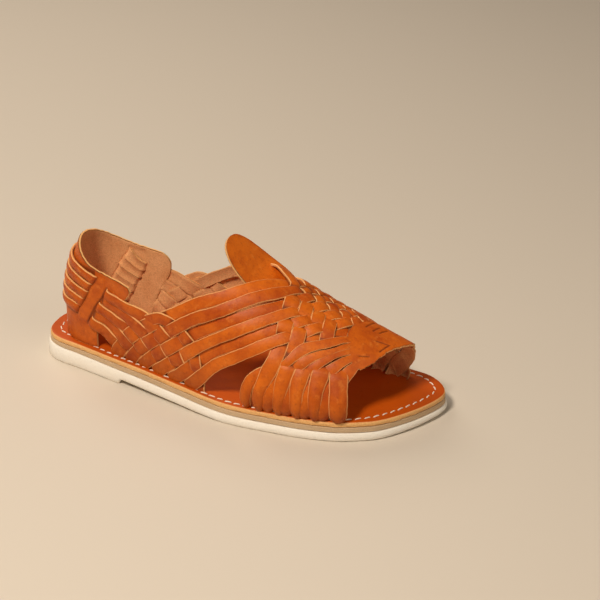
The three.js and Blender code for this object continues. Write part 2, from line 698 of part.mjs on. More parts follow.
addPiece('outsole', slab([
  soleRing(RIM.outsole.bottom, tread),
  soleRing(RIM.outsole.widest, (x) => tread(x) + TREAD_ROUND),
  soleRing(RIM.outsole.top, outsoleTop),
]), COLOURS.outsole, 0.8);

addPiece('midsole', slab([
  soleRing(RIM.midsole.bottom, midsoleBottom),
  soleRing(RIM.midsole.top, midsoleTop),
]), COLOURS.midsole, 0.85);

addPiece('insole', slab([
  soleRing(RIM.insole.bottom, insoleBottom),
  soleRing(RIM.insole.widest, (x) => footbed(x) - EDGE_ROUND),
  soleRing(RIM.insole.top, footbed),
]), COLOURS.insole, 0.45);

const BED_MARGIN = 9;
let upper = solidOf(sheetOf(counterGrid()));
upper = upper.add(solidOf(sheetOf(plateGrid())));
for (const strip of strips) upper = upper.add(solidOf(bandOf(strip)));
// the feet of the straps end on the footbed
const bed = slab([soleRing(BED_MARGIN, () => 0), soleRing(BED_MARGIN, (x) => footbed(x) + PIECE_GAP)]);
upper = upper.subtract(solidOf(bed));
// slivers left by the cuts are closed up, and small closed voids between crossing straps are filled
upper = upper.asOriginal().simplify(SLIVER);
upper = upper.decompose().reduce((most, solid) => (solid.volume() > most.volume() ? solid : most));
addPiece('upper', geometryFrom(upper), COLOURS.strap, 0.5);

addPiece('tongue', tongueGeometry(), COLOURS.strap, 0.5);

export default part;
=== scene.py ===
# A right huarache sandal of woven leather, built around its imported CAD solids.
# Lengths are in millimetres until a mesh is made. +X is the toe, +Y the inner side, +Z up.
import math

import bpy
import numpy as np
from mathutils import Matrix, Vector


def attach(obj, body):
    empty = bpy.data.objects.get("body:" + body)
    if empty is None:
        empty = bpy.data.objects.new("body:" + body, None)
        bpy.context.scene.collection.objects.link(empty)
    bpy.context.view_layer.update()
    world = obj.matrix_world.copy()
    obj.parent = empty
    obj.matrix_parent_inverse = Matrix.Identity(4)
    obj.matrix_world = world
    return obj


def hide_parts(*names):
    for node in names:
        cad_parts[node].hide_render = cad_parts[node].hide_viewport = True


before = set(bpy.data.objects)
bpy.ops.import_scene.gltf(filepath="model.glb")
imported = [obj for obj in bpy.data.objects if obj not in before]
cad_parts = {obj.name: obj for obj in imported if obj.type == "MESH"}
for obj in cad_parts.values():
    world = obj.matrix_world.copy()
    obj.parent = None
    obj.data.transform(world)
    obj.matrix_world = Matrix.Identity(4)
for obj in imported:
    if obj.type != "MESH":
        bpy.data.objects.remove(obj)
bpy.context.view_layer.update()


# Camera and lights
# The photo's view: 22.9 degrees towards the toe and 30 degrees above the floor, through a long lens.
# The key light stands to the left of the camera and high up, with a soft one behind and one at the side.

AZIMUTH = math.radians(22.89)
ELEVATION = math.radians(30)
DISTANCE = 1.4051                   # in metres, as the lights' places and sizes are
FOCAL = 2060.05                     # in pixels of the photo
ORIGIN_PIXEL = (238.42, 383.86)     # where the frame's origin lies in the photo
PHOTO = 600
SENSOR = 36
LIGHTS = {   # place, height of the point aimed at, size, power
    "key": ((-0.25, -0.75, 1.20), 0.03, 0.30, 16),
    "rim": ((-0.80, 0.55, 0.95), 0.04, 0.8, 6),
    "side": ((1.0, -0.4, 0.9), 0.04, 0.9, 3)}
LIGHT_COLOUR = (1.0, 0.89, 0.76)
SKY_COLOUR = (1.0, 0.89, 0.78)
SKY_STRENGTH = 0.11

back = Vector((math.sin(AZIMUTH) * math.cos(ELEVATION),
               -math.cos(AZIMUTH) * math.cos(ELEVATION),
               math.sin(ELEVATION)))
right = Vector((math.cos(AZIMUTH), math.sin(AZIMUTH), 0))
up = back.cross(right)
aside = right * (PHOTO / 2 - ORIGIN_PIXEL[0]) / FOCAL
below = up * (PHOTO / 2 - ORIGIN_PIXEL[1]) / FOCAL
aim = aside - below - back
camera_data = bpy.data.cameras.new("camera")
camera_data.sensor_width = SENSOR
camera_data.lens = SENSOR * FOCAL / PHOTO / aim.length
camera = bpy.data.objects.new("camera", camera_data)
bpy.context.scene.collection.objects.link(camera)
z_axis = -aim.normalized()
x_axis = up.cross(z_axis).normalized()
y_axis = z_axis.cross(x_axis)
facing = Matrix((x_axis, y_axis, z_axis)).transposed().to_4x4()
camera.matrix_world = Matrix.Translation(back * DISTANCE) @ facing
bpy.context.scene.camera = camera

for name, (place, height, size, power) in LIGHTS.items():
    light = bpy.data.lights.new(name, "AREA")
    light.shape = "DISK"
    light.size = size
    light.energy = power
    light.color = LIGHT_COLOUR
    lamp = bpy.data.objects.new(name, light)
    lamp.location = place
    way = Vector((0, 0, height)) - Vector(place)
    lamp.rotation_euler = way.to_track_quat("-Z", "Y").to_euler()
    bpy.context.scene.collection.objects.link(lamp)

world = bpy.data.worlds.new("world")
world.use_nodes = True
sky = world.node_tree.nodes["Background"]
sky.inputs["Color"].default_value = (*SKY_COLOUR, 1)
sky.inputs["Strength"].default_value = SKY_STRENGTH
bpy.context.scene.world = world
bpy.context.scene.view_settings.view_transform = "Standard"


# Outsole
# A cream crepe rubber sole with a low heel, a step in front of it, a flat forefoot and a little toe
# spring. It is cut from sheet round the insole's outline, which all three soles share, and cemented on.

MM = 0.001
SOLE_LENGTH = 280
OUTLINE = np.array([   # x, middle line, half width
    (-140, 4.4, 31.0), (-110, 6.7, 29.7), (-70, 0.7, 31.9), (-30, -3.0, 38.0), (10, -5.6, 44.3),
    (50, 0.6, 50.1), (70, 0.9, 48.4), (90, 1.9, 44.4), (110, 5.5, 37.4), (125, 12.5, 34.2),
    (140, 19.5, 30.5)])
HEEL_ROUND = (-80.4, 2.67)          # where the outline starts to round off, and with what power
TOE_ROUND = (106.6, 1.72)
FOOTBED = np.array([(-140, 18.2), (-56, 17.2), (14, 14.0), (140, 13.5)])     # x, height of the insole's top
FOOTBED_BLEND = (-8, -4, 0, 4, 8)   # its corners are averaged over these steps
INSOLE_THICKNESS = 3.5
GAP = 0.3                           # the solids' gap between two soles
MIDSOLE = (2.8, 3.6)                # thickness at the heel and from the waist on
MIDSOLE_TAPER = 90
HEEL_BREAST = -75
BREAST_SLOPE = 2
WAIST_RISE = 3.6
WAIST_END = 12
TOE_SPRING = (96, 1.8)              # where it starts, and how high the tip is
OUTSOLE_EDGE = (   # how far out, how far up from tread to top, and millimetres more
    (-0.2, 0, 0), (0.9, 0, 0.05), (1.7, 0, 0.45), (2.1, 0, 1.2),
    (2.0, 0.5, 0), (1.5, 1, -0.5), (1.1, 1, -0.05), (0.6, 1, 0))
SIDE_STEPS = 190                    # points along one side of the outline
FINE_STEPS = 1200
CAP_COLUMNS = 14
SOLE_ANGLE = 40                     # edges sharper than this stay sharp
WELD = 2e-6                         # in metres
CREPE = ((0.93, 0.86, 0.74), (0.99, 0.95, 0.87))
CREPE_PORES = (0.74, 0.62, 0.46)


def along(table, at):
    """The other columns of a table at those places in its first one, on a smooth curve."""
    table = np.asarray(table, float)
    at = np.clip(np.asarray(at, float), table[0, 0], table[-1, 0])
    key, rows = table[:, 0], table[:, 1:]
    last = len(table) - 1
    before = np.maximum(np.arange(last + 1) - 1, 0)
    after = np.minimum(np.arange(last + 1) + 1, last)
    slope = (rows[after] - rows[before]) / (key[after] - key[before])[:, None]
    i = np.clip(np.searchsorted(key, at, side="right") - 1, 0, last - 1)
    gap = (key[i + 1] - key[i])[..., None]
    u = (at - key[i])[..., None] / gap
    return ((2 * u**3 - 3 * u**2 + 1) * rows[i] + (u**3 - 2 * u**2 + u) * gap * slope[i]
            + (3 * u**2 - 2 * u**3) * rows[i + 1] + (u**3 - u**2) * gap * slope[i + 1])


def rim(x, side):
    """How far across the insole's edge is: side -1 is the outer one, 1 the inner one."""
    heel_from, heel_power = HEEL_ROUND
    toe_from, toe_power = TOE_ROUND
    heel = np.clip((heel_from - x) / (heel_from + SOLE_LENGTH / 2), 0, 1)
    toe = np.clip((x - toe_from) / (SOLE_LENGTH / 2 - toe_from), 0, 1)
    rounding = (1 - heel**heel_power) ** (1 / heel_power) * (1 - toe**toe_power) ** (1 / toe_power)
    middle, half = along(OUTLINE, x).T
    return middle + side * half * rounding


def footbed(x):
    """The height of the insole's top."""
    x = np.asarray(x, float)
    return sum(np.interp(x + step, *FOOTBED.T) for step in FOOTBED_BLEND) / len(FOOTBED_BLEND)


def midsole_bottom(x):
    taper = np.clip((x + SOLE_LENGTH / 2) / MIDSOLE_TAPER, 0, 1)
    return footbed(x) - INSOLE_THICKNESS - GAP - (MIDSOLE[0] + (MIDSOLE[1] - MIDSOLE[0]) * taper)


def outsole_top(x):
    return midsole_bottom(x) - GAP


def tread(x):
    """The height of the outsole's underside over the floor, with the waist and the toe spring."""
    waist = WAIST_RISE * np.clip((WAIST_END - x) / (WAIST_END - HEEL_BREAST - BREAST_SLOPE), 0, None)
    step = np.clip((x - HEEL_BREAST) / BREAST_SLOPE, 0, 1)
    toe = np.clip(x - TOE_SPRING[0], 0, None) / (SOLE_LENGTH / 2 - TOE_SPRING[0])
    return waist * step + TOE_SPRING[1] * toe**2


def half_outline(side):
    """One side of the insole's outline, heel to toe, at even steps."""
    x = -SOLE_LENGTH / 2 * np.cos(np.linspace(0, np.pi, FINE_STEPS))
    y = rim(x, side)
    run = np.concatenate([[0], np.cumsum(np.hypot(np.diff(x), np.diff(y)))])
    even = np.linspace(0, run[-1], SIDE_STEPS)
    return np.column_stack([np.interp(even, run, x), np.interp(even, run, y)])


LOOP = np.vstack([half_outline(-1), half_outline(1)[-2:0:-1]])
loop_way = np.roll(LOOP, -1, 0) - np.roll(LOOP, 1, 0)
loop_way /= np.linalg.norm(loop_way, axis=1)[:, None]
LOOP_OUT = np.column_stack([loop_way[:, 1], -loop_way[:, 0]])


def sole_ring(out, height, rough=0.0):
    """The insole's outline moved out, at heights given all round."""
    flat = LOOP + LOOP_OUT * np.reshape(out + rough, (-1, 1))
    return np.column_stack([flat, height])


def edge_rings(edge, bottom, top):
    """The rings of a sole's edge, from its underside to its top."""
    x = LOOP[:, 0]
    return [sole_ring(out, bottom(x) * (1 - up) + top(x) * up + more) for out, up, more in edge]


def cap(ring, columns=CAP_COLUMNS):
    """Rows across a ring, heel to toe, for its flat top or bottom."""
    outer = ring[:SIDE_STEPS]
    inner = np.vstack([ring[:1], ring[:SIDE_STEPS - 1:-1], ring[SIDE_STEPS - 1:SIDE_STEPS]])
    t = np.linspace(0, 1, columns + 1)[None, :, None]
    return outer[:, None] * (1 - t) + inner[:, None] * t


class Builder:
    """Collects points in millimetres, faces and numbers at points, and makes them one piece."""
    def __init__(self):
        self.points = []
        self.faces = []
        self.numbers = {}
        self.count = 0

    def grid(self, points, closed=False, flip=False, **numbers):
        """Quads over points by row and column; closed joins the last column to the first."""
        rows, columns = points.shape[:2]
        across = columns if closed else columns - 1
        i, j = np.meshgrid(np.arange(rows - 1), np.arange(across), indexing="ij")
        here, there = i * columns, (i + 1) * columns
        k = (j + 1) % columns
        quads = np.stack([here + j, here + k, there + k, there + j], -1).reshape(-1, 4)
        if flip:
            quads = quads[:, ::-1]
        self.faces += (quads + self.count).tolist()
        points = points.reshape(-1, 3)
        self.points.append(points)
        for name, value in numbers.items():
            values = np.broadcast_to(np.ravel(value), len(points))
            self.numbers.setdefault(name, []).append((self.count, values))
        self.count += len(points)

    def piece(self, name, material, slot, *replaced, angle=None):
        mesh = bpy.data.meshes.new(name)
        points = np.vstack(self.points) * MM
        mesh.from_pydata(points.tolist(), [], self.faces)
        for number, parts in self.numbers.items():
            values = np.zeros(len(points), np.float32)
            for start, part in parts:
                values[start:start + len(part)] = part
            mesh.attributes.new(number, "FLOAT", "POINT").data.foreach_set("value", values)
        mesh.materials.append(material)
        mesh.validate()
        obj = bpy.data.objects.new(name, mesh)
        bpy.context.scene.collection.objects.link(obj)
        obj.modifiers.new("weld", "WELD").merge_threshold = WELD
        mesh.shade_smooth()
        if angle:
            mesh.set_sharp_from_angle(angle=math.radians(angle))
        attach(obj, "root")
        if replaced:
            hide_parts(*replaced)


def sole_piece(name, rings, material, slot):
    """One sole: its edge, and its flat underside and top. It replaces the solid named as its slot."""
    build = Builder()
    build.grid(np.stack(rings), closed=True)
    build.grid(cap(rings[0]))
    build.grid(cap(rings[-1]), flip=True)
    build.piece(name, material, slot, slot, angle=SOLE_ANGLE)


class Socket:
    """One output of a material's node, so that shader maths reads as Python expressions."""
    def __init__(self, material, output):
        self.material = material
        self.output = output

    def math(self, operation, first, second):
        return self.material.node("Math", {"operation": operation}, {0: first, 1: second})["Value"]

    def __add__(self, other):
        return self.math("ADD", self, other)

    def __radd__(self, other):
        return self.math("ADD", other, self)

    def __sub__(self, other):
        return self.math("SUBTRACT", self, other)

    def __rsub__(self, other):
        return self.math("SUBTRACT", other, self)

    def __mul__(self, other):
        return self.math("MULTIPLY", self, other)

    def __rmul__(self, other):
        return self.math("MULTIPLY", other, self)

    def above(self, low, high):
        """0 below low, 1 above high, and smooth in between."""
        limits = {"Value": self, "From Min": low, "From Max": high}
        return self.material.node("MapRange", {"interpolation_type": "SMOOTHSTEP"}, limits)["Result"]


def mix(factor, a, b):
    """Colour a where the factor is 0 and b where it is 1, by the Mix node's numbered colour sockets."""
    return factor.material.node("Mix", {"data_type": "RGBA"}, {0: factor, 6: a, 7: b})["Result"]


class Material:
    """A material under way: its nodes, and patterns whose sizes are in millimetres."""
    def __init__(self, name):
        self.material = bpy.data.materials.new(name)
        self.material.use_nodes = True
        self.tree = self.material.node_tree
        self.place = self.node("TexCoord", {}, {})["Object"]

    def node(self, kind, settings, inputs):
        """A node of any kind; inputs go by name or number, and its outputs come back by name."""
        node = self.tree.nodes.new("ShaderNode" + kind)
        for name, value in settings.items():
            setattr(node, name, value)
        for name, value in inputs.items():
            self.plug(node.inputs[name], value)
        return {output.name: Socket(self, output) for output in node.outputs if output.enabled}

    def plug(self, slot, value):
        """Links a socket to a slot, or sets a colour or a number on it."""
        if isinstance(value, Socket):
            self.tree.links.new(value.output, slot)
        elif slot.type == "RGBA":
            slot.default_value = (*value, 1)
        else:
            slot.default_value = value

    def number(self, name):
        """A number that the mesh has at its points."""
        return self.node("Attribute", {"attribute_name": name}, {})["Fac"]

    def noise(self, size, detail, rough=0.55, stretch=None):
        """Soft clouds of about that size."""
        place = self.place
        if stretch:
            place = self.node("Mapping", {}, {"Vector": place, "Scale": stretch})["Vector"]
        inputs = {"Vector": place, "Scale": 1 / MM / size, "Detail": detail, "Roughness": rough}
        return self.node("TexNoise", {}, inputs)["Fac"]

    def cells(self, size):
        """Distances to the edges of leather's small cells."""
        inputs = {"Vector": self.place, "Scale": 1 / MM / size}
        return self.node("TexVoronoi", {"feature": "DISTANCE_TO_EDGE"}, inputs)["Distance"]

    def finish(self, colour, roughness, height=None, depth=0.0, specular=0.3):
        shader = self.tree.nodes["Principled BSDF"]
        self.plug(shader.inputs["Base Color"], colour)
        self.plug(shader.inputs["Roughness"], roughness)
        self.plug(shader.inputs["Specular IOR Level"], specular)
        if height is not None:
            bump = self.node("Bump", {}, {"Height": height, "Distance": depth * MM})
            self.plug(shader.inputs["Normal"], bump["Normal"])
        return self.material


def crepe():
    m = Material("crepe")
    grain = m.noise(size=1.1, detail=4)
    cloud = m.noise(size=28, detail=2)
    speck = m.noise(size=0.35, detail=2)
    colour = mix((grain - 0.55) * 1.5, mix(cloud, *CREPE), CREPE_PORES)
    return m.finish(colour, 0.72 + 0.15 * cloud, grain + 0.35 * speck, depth=0.22)


sole_piece("outsole_crepe", edge_rings(OUTSOLE_EDGE, tread, outsole_top), crepe(), "outsole")


# Midsole
# A thin beige layer of foam rubber between the outsole and the leather, cemented to both. It is cut a
# little inside the outsole's edge and gets thinner towards the heel.

MIDSOLE_EDGE = ((0.4, 0, 0), (0.9, 0, 0.3), (0.6, 1, -0.3), (0.2, 1, 0))     # as for the outsole
FOAM = ((0.54, 0.37, 0.215), (0.68, 0.50, 0.315))
FOAM_GRAIN = (0.42, 0.27, 0.15)


def midsole_top(x):
    return footbed(x) - INSOLE_THICKNESS - GAP


def foam_board():
    m = Material("foam_board")
    grain = m.noise(size=0.7, detail=4)
    cloud = m.noise(size=18, detail=2)
    colour = mix((grain - 0.5) * 2, mix(cloud, *FOAM), FOAM_GRAIN)
    return m.finish(colour, 0.85, grain, depth=0.15)


sole_piece("midsole_board", edge_rings(MIDSOLE_EDGE, midsole_bottom, midsole_top), foam_board(), "midsole")


# Insole
# A thick sheet of vegetable-tanned leather, glued to the midsole. Its top is polished, with a pale raw
# edge that is cut a little unevenly. The straps go down through slits near its rim.

EDGE_LENGTH = 760                   # roughly once round the insole
RIPPLE_WAVES = 12
RIPPLE_STARTS = 6.3
RIPPLE_EVEN = 4
INSOLE_EDGE = (   # how far out, how deep, which fray, its share sideways and upwards, how raw
    (0.0, 3.5, 0, 0.0, 0.0, 1.0), (0.45, 3.2, 1, 1.0, 0.0, 1.0), (0.50, 2.0, 0, 1.0, 0.0, 1.0),
    (0.35, 0.9, 0, 0.6, 0.5, 1.0), (0.05, 0.35, 0, 0.3, 0.0, 0.85), (-0.35, 0.08, 0, 0.0, 0.0, 0.0),
    (-1.2, 0.0, 0, 0.0, 0.0, 0.0))
TOP_COLUMNS = 30
LEATHER_ANGLE = 50
POLISHED = ((0.38, 0.048, 0.002), (0.60, 0.102, 0.004))
POLISHED_STREAK = (0.50, 0.085, 0.005)
POLISHED_DARK = (0.16, 0.030, 0.006)
RAW_EDGE = ((0.66, 0.29, 0.08), (1.0, 0.64, 0.28))


def insole_leather():
    m = Material("insole_leather")
    raw = m.number("raw")
    cloud = m.noise(size=34, detail=4, rough=0.6)
    fine = m.noise(size=3.2, detail=4)
    pores = m.cells(size=0.75)
    streak = m.noise(size=16, detail=3, rough=0.5, stretch=(0.25, 1, 1))
    fuzz = m.noise(size=0.8, detail=4)
    top = mix((streak - 0.45) * 1.2, mix(cloud, *POLISHED), POLISHED_STREAK)
    top = mix(fine.above(0.62, 0.8) * 0.35, top, POLISHED_DARK)
    colour = mix(raw, top, mix(fuzz, *RAW_EDGE))
    roughness = 0.36 + 0.14 * fine + raw * 0.4
    height = pores * 0.25 * (1 - raw) + fine * 0.5 + fuzz * raw * 1.6
    return m.finish(colour, roughness, height, depth=0.16, specular=0.18)


def ripple(amount, size, seed):
    """Soft random waves round the outline, of about that length."""
    waves = np.random.default_rng(seed)
    at = np.arange(len(LOOP)) / len(LOOP) * 2 * np.pi
    count = int(EDGE_LENGTH / size)
    turns = waves.integers(count // 2, count * 2, RIPPLE_WAVES)
    return amount * sum(np.sin(at * k + waves.uniform(0, RIPPLE_STARTS)) for k in turns) / RIPPLE_EVEN


frays = (ripple(amount=0.16, size=5, seed=3), ripple(amount=0.20, size=3.5, seed=4))
bed = footbed(LOOP[:, 0])
insole_rings = [sole_ring(out, bed - deep + frays[which] * upwards, frays[which] * sideways)
                for out, deep, which, sideways, upwards, raw in INSOLE_EDGE]
rawness = np.array(INSOLE_EDGE)[:, -1:]
build = Builder()
build.grid(np.stack(insole_rings), closed=True, raw=np.repeat(rawness, len(LOOP), 1))
build.grid(cap(insole_rings[0]), raw=1.0)
build.grid(cap(insole_rings[-1], TOP_COLUMNS), flip=True, raw=0.0)
build.piece("insole_leather", insole_leather(), "insole", "insole", angle=LEATHER_ANGLE)


# Stitching of the insole
# Off-white waxed thread all round, nearer the rim along the sides than at heel and toe. Each stitch
# comes out of one hole and dips into the next, and leans a little.

STITCH_INSET = np.array([
    (-140, 7.0), (-115, 6.2), (-95, 4.0), (-70, 3.2), (60, 3.0), (95, 3.6), (112, 5.2), (140, 6.6)])
STITCH = 4.6
STITCH_GAP = 1.7
STITCH_POINTS = 9
STITCH_SPREAD = 0.12                # lengths vary by this share
LEAN = 0.42
LEAN_SPREAD = 0.06
THREAD = 0.48                       # radius
THREAD_SIDES = 8
THREAD_RISE = 0.18
THREAD_DIP = 0.7
THREAD_TAPER = 0.35
WAXED = ((0.74, 0.60, 0.46), (0.90, 0.80, 0.68))
rng = np.random.default_rng(7)


def thread(build, path, radius):
    """A closed round thread along a path, with a radius for each of its points."""
    way = np.gradient(path, axis=0)
    way /= np.linalg.norm(way, axis=1)[:, None]
    side = np.cross(way, (0, 0, 1.0))
    side /= np.linalg.norm(side, axis=1)[:, None]
    lift = np.cross(side, way)
    turn = np.linspace(0, 2 * np.pi, THREAD_SIDES, endpoint=False)[None, :, None]
    ring = np.cos(turn) * side[:, None] + np.sin(turn) * lift[:, None]
    start = build.count
    build.grid(path[:, None] + radius[:, None, None] * ring, closed=True, flip=True)
    build.faces.append(range(build.count - 1, build.count - THREAD_SIDES - 1, -1))
    build.faces.append(range(start, start + THREAD_SIDES))


def waxed_thread():
    m = Material("thread")
    colour = mix(m.noise(size=9, detail=2), *WAXED)
    return m.finish(colour, 0.7, m.noise(size=0.7, detail=2), depth=0.08)


line = LOOP - LOOP_OUT * along(STITCH_INSET, LOOP[:, 0])
line = np.vstack([line, line[:1]])
run = np.concatenate([[0], np.cumsum(np.hypot(*np.diff(line, axis=0).T))])
stitches = int(run[-1] / (STITCH + STITCH_GAP))
t = np.linspace(-1, 1, STITCH_POINTS)
build = Builder()
for k in range(stitches):
    length = STITCH * (1 + STITCH_SPREAD * rng.normal())
    at = (k + 0.5) * run[-1] / stitches + t * length / 2
    x = np.interp(at % run[-1], run, line[:, 0])
    y = np.interp(at % run[-1], run, line[:, 1])
    heading = np.array([x[-1] - x[0], y[-1] - y[0]]) / length
    lean = LEAN * t + LEAN_SPREAD * rng.normal()
    x, y = x - heading[1] * lean, y + heading[0] * lean
    z = footbed(x) + THREAD_RISE - THREAD_DIP * np.abs(t) ** 4
    thread(build, np.column_stack([x, y, z]), THREAD * (1 - THREAD_TAPER * t**6))
build.piece("insole_stitches", waxed_thread(), "insole")


# Heel counter
# One sheet of leather round the heel, raw edged, grain side out and suede inside. It takes the last's
# form, is slit for the heel straps, which hold it, and its foot spreads a little on the insole.

LAST = np.array([   # x, ridge y, ridge height, outer and inner inset, belly, outer and inner squareness
    (-90, 4.2, 260, 7.2, 6.2, 2.0, 2.6, 2.6), (-60, 2.2, 170, 5.6, 5.4, 2.3, 2.5, 2.5),
    (-30, 1.2, 112, 4.5, 5.0, 1.0, 2.4, 2.4), (0, 2.2, 88, 4.5, 6.0, 0.0, 2.2, 2.2),
    (30, 3.2, 72, 4.5, 7.0, 1.8, 2.2, 2.2), (60, 4.2, 56.5, 4.2, 8.5, 2.5, 2.2, 2.2),
    (90, 7.2, 45, 4.2, 15.0, 2.5, 2.2, 2.6), (120, 10.2, 32.5, 4.2, 15.5, 1.8, 2.2, 3.4)])
HEEL_START = -90                    # behind this the last turns round the heel
HEEL_ARC = 56                       # how far places along it go on from there to the heel's back
BACK = HEEL_START - HEEL_ARC
HEEL_REACH = (36.8, 25.6)           # how far the heel's back is from there, at its foot and its top
HEEL_BELLY = 5.5
HEEL_POWER = (2.4, 1.85)
HEEL_POWER_TOP = 1.2
HEEL_HEIGHT = 75
GIRTH_FROM = -15                    # behind this all rows share one girth, because there is no ridge
HEEL_GIRTH = 116                    # heights round the heel are given for the outer side's girth
BELLY_TOP = 0.8                     # the last bulges sideways up to this share of its height
PROFILE_POINTS = 90
ACROSS_LIMIT = 1.08
GRID_S = np.arange(BACK, 124.01, 0.5)
GRID_A = np.linspace(-ACROSS_LIMIT, ACROSS_LIMIT, 433)
GRID_END = 1.001                    # keeps a place at the last row or column inside the grid
TINY = 1e-12                        # keeps a division from failing
COLLAR = [   # place along, height
    (BACK - 14, 71.5), (BACK, 72.8), (-132, 71.5), (-120, 68), (-104, 62), (-90, 58.5), (-75, 57), (-60, 54)]
COUNTER_FRONT = [   # share of the height, place along
    (0, -94), (0.2, -94), (0.36, -90.5), (0.5, -84), (0.7, -75), (0.93, -66.8), (1, -68)]
INNER_FRONT = [(0, -76), (0.2, -76), (0.5, -70), (0.75, -63.5), (0.9, -62.5), (0.97, -65), (1, -69)]
COUNTER = 1.9
COUNTER_FOOT = 0.2                  # where the sheet starts over the insole
COLLAR_WOBBLE = 0.15
COLLAR_WAVES = (61, 2, 17)
FLARE = (0.5, 3.5)                  # how far the foot spreads, and the height over which that fades
REAR_SLITS = np.array([(-96, 51.5), (-100, 45), (-102, 38.5), (-105, 32), (-108.5, 26)])     # s, height
FRONT_SLITS = np.array([(-88, 45.5), (-91, 39.5), (-94.5, 33.5), (-97, 27.5), (-99.5, 21)])
INNER_SLIT_SHIFT = 7                # the inner side's front slits are this much further forward
SLIT_HALF = 3.5
# painted shade reaches this far round each slit
SLIT_SHADE = 1.3
BRIDGE_LIFT = 0.8                   # the leather between the two rows of slits stands out over the straps
BRIDGE_SOFT = (0.3, 0.5)
BRIDGE_FOOT = (17, 21)
BRIDGE_TOP = (57, 54)
BAND_FOOT = (20, 23)                # painted shade: the sheet is darker under the straps, between these heights
BAND_TOP = (61, 59)
BAND_DARK = 0.9
EDGE_ROUND = 0.35
EDGE_SHADE_ROWS = 4                        # painted shade: the grain is darker over this many rows from an edge
COUNTER_TINT = 0.45
GRAIN = ((0.40, 0.052, 0.002), (0.70, 0.152, 0.007))
GRAIN_DARK = (0.30, 0.038, 0.003)
GRAIN_SCUFF = (0.80, 0.26, 0.040)
# painted shade towards the raw edges, where the leather rounds away
GRAIN_EDGE_SHADE = (0.30, 0.040, 0.003)
# painted shade where something covers the leather: in slits, cuts, crossings and low on strap walls
GRAIN_PAINTED_SHADE = (0.075, 0.012, 0.003)
SUEDE = ((0.74, 0.31, 0.11), (0.98, 0.55, 0.26))
SUEDE_DARK = (0.52, 0.19, 0.06)
CUT_EDGE = ((0.74, 0.32, 0.08), (1.0, 0.60, 0.26))


def profile(x, side):
    """One side of the last at x: the ridge's y, and widths, heights and lengths from the foot up."""
    ridge, rise, outer, inner, belly, outer_power, inner_power = along(LAST, x)
    power = outer_power if side < 0 else inner_power
    foot = ridge - (rim(x, -1) + outer) if side < 0 else rim(x, 1) - inner - ridge
    angle = np.linspace(0, np.pi / 2, PROFILE_POINTS)
    height = rise * np.sin(angle) ** (2 / power)
    bulge = belly * np.sin(np.pi * np.clip(height / rise / BELLY_TOP, 0, 1))
    width = (foot + bulge) * np.clip(np.cos(angle), 0, 1) ** (2 / power)
    return ridge, width, height, np.concatenate([[0], np.cumsum(np.hypot(np.diff(width), np.diff(height)))])


def last_row(s):
    """The last at a place s along it, across from a = -1 at the outer foot over 0 to 1 at the inner foot."""
    row = np.zeros((len(GRID_A), 3))
    for side in (-1, 1):
        part = GRID_A < 0 if side < 0 else GRID_A >= 0
        girth = profile(max(s, GIRTH_FROM), side)[3][-1]
        ridge, width, height, run = profile(max(s, HEEL_START), side)
        left = (1 - np.abs(GRID_A[part])) * girth
        half = np.interp(left, run, width)
        up = np.where(left < 0, left, np.interp(left, run, height))
        x = np.full(len(half), s)
        narrowing = 1
        if s < HEEL_START:
            turn = np.clip((s - BACK) / HEEL_ARC, 0, 1) * np.pi / 2
            rise = up / HEEL_HEIGHT
            reach = HEEL_REACH[0] + (HEEL_REACH[1] - HEEL_REACH[0]) * rise
            reach += HEEL_BELLY * np.sin(np.pi * np.clip(rise, 0, 1))
            power = HEEL_POWER[0] + (HEEL_POWER[1] - HEEL_POWER[0]) * np.clip(rise, 0, HEEL_POWER_TOP)
            x = HEEL_START - reach * np.cos(turn) ** (2 / power)
            narrowing = np.sin(turn) ** (2 / power)
        row[part] = np.column_stack([x, ridge + side * half * narrowing, footbed(x) + up])
    return row


GIRTH_RATIO = profile(GIRTH_FROM, 1)[3][-1] / profile(GIRTH_FROM, -1)[3][-1]


def other_side(a):
    """The place across at the same height on the other side of the heel."""
    return np.where(a < 0, 1 - (1 + a) / GIRTH_RATIO, (1 - a) * GIRTH_RATIO - 1)


GRID = np.array([last_row(s) for s in GRID_S])
# the surface goes on round the other side past the heel's back, so that its slope is right there
slope_s = np.gradient(GRID, axis=0)
slope_s[0] = GRID[1] - np.column_stack([np.interp(other_side(GRID_A), GRID_A, xyz) for xyz in GRID[1].T])
slope_a = np.gradient(GRID, axis=1)
GRID_NORMAL = np.cross(slope_s, slope_a)
GRID_NORMAL /= np.linalg.norm(GRID_NORMAL, axis=2)[..., None] + TINY


def on_grid(grid, s, a):
    """Values of a grid over the last at places s and a, between its points."""
    i = np.clip((s - GRID_S[0]) / (GRID_S[1] - GRID_S[0]), 0, len(GRID_S) - GRID_END)
    j = np.clip((a - GRID_A[0]) / (GRID_A[1] - GRID_A[0]), 0, len(GRID_A) - GRID_END)
    i0, j0 = i.astype(int), j.astype(int)
    u, v = (i - i0)[..., None], (j - j0)[..., None]
    return ((1 - u) * (1 - v) * grid[i0, j0] + (1 - u) * v * grid[i0, j0 + 1]
            + u * (1 - v) * grid[i0 + 1, j0] + u * v * grid[i0 + 1, j0 + 1])


def surface(s, a, lift=0.0):
    """Points of the last at those places, moved out along its normal. Past the heel's back s turns round."""
    s, a, lift = np.broadcast_arrays(np.asarray(s, float), np.asarray(a, float), np.asarray(lift, float))
    past = s < BACK
    s, a = np.where(past, 2 * BACK - s, s), np.where(past, other_side(a), a)
    normal = on_grid(GRID_NORMAL, s, a)
    normal /= np.linalg.norm(normal, axis=-1)[..., None]
    return on_grid(GRID, s, a) + normal * lift[..., None]


def heel_across(height, side):
    """The place across for a height above the insole, the same on both sides of the heel."""
    return side * (1 - height / (HEEL_GIRTH * np.where(side < 0, 1, GIRTH_RATIO)))


def edge_steps(low, high, narrow, first, count):
    """Places from low to high, with a narrow step at each end for the rounding of a raw edge."""
    return np.concatenate([[low, low + narrow], np.linspace(low + first, high - first, count),
                           [high - narrow, high]])


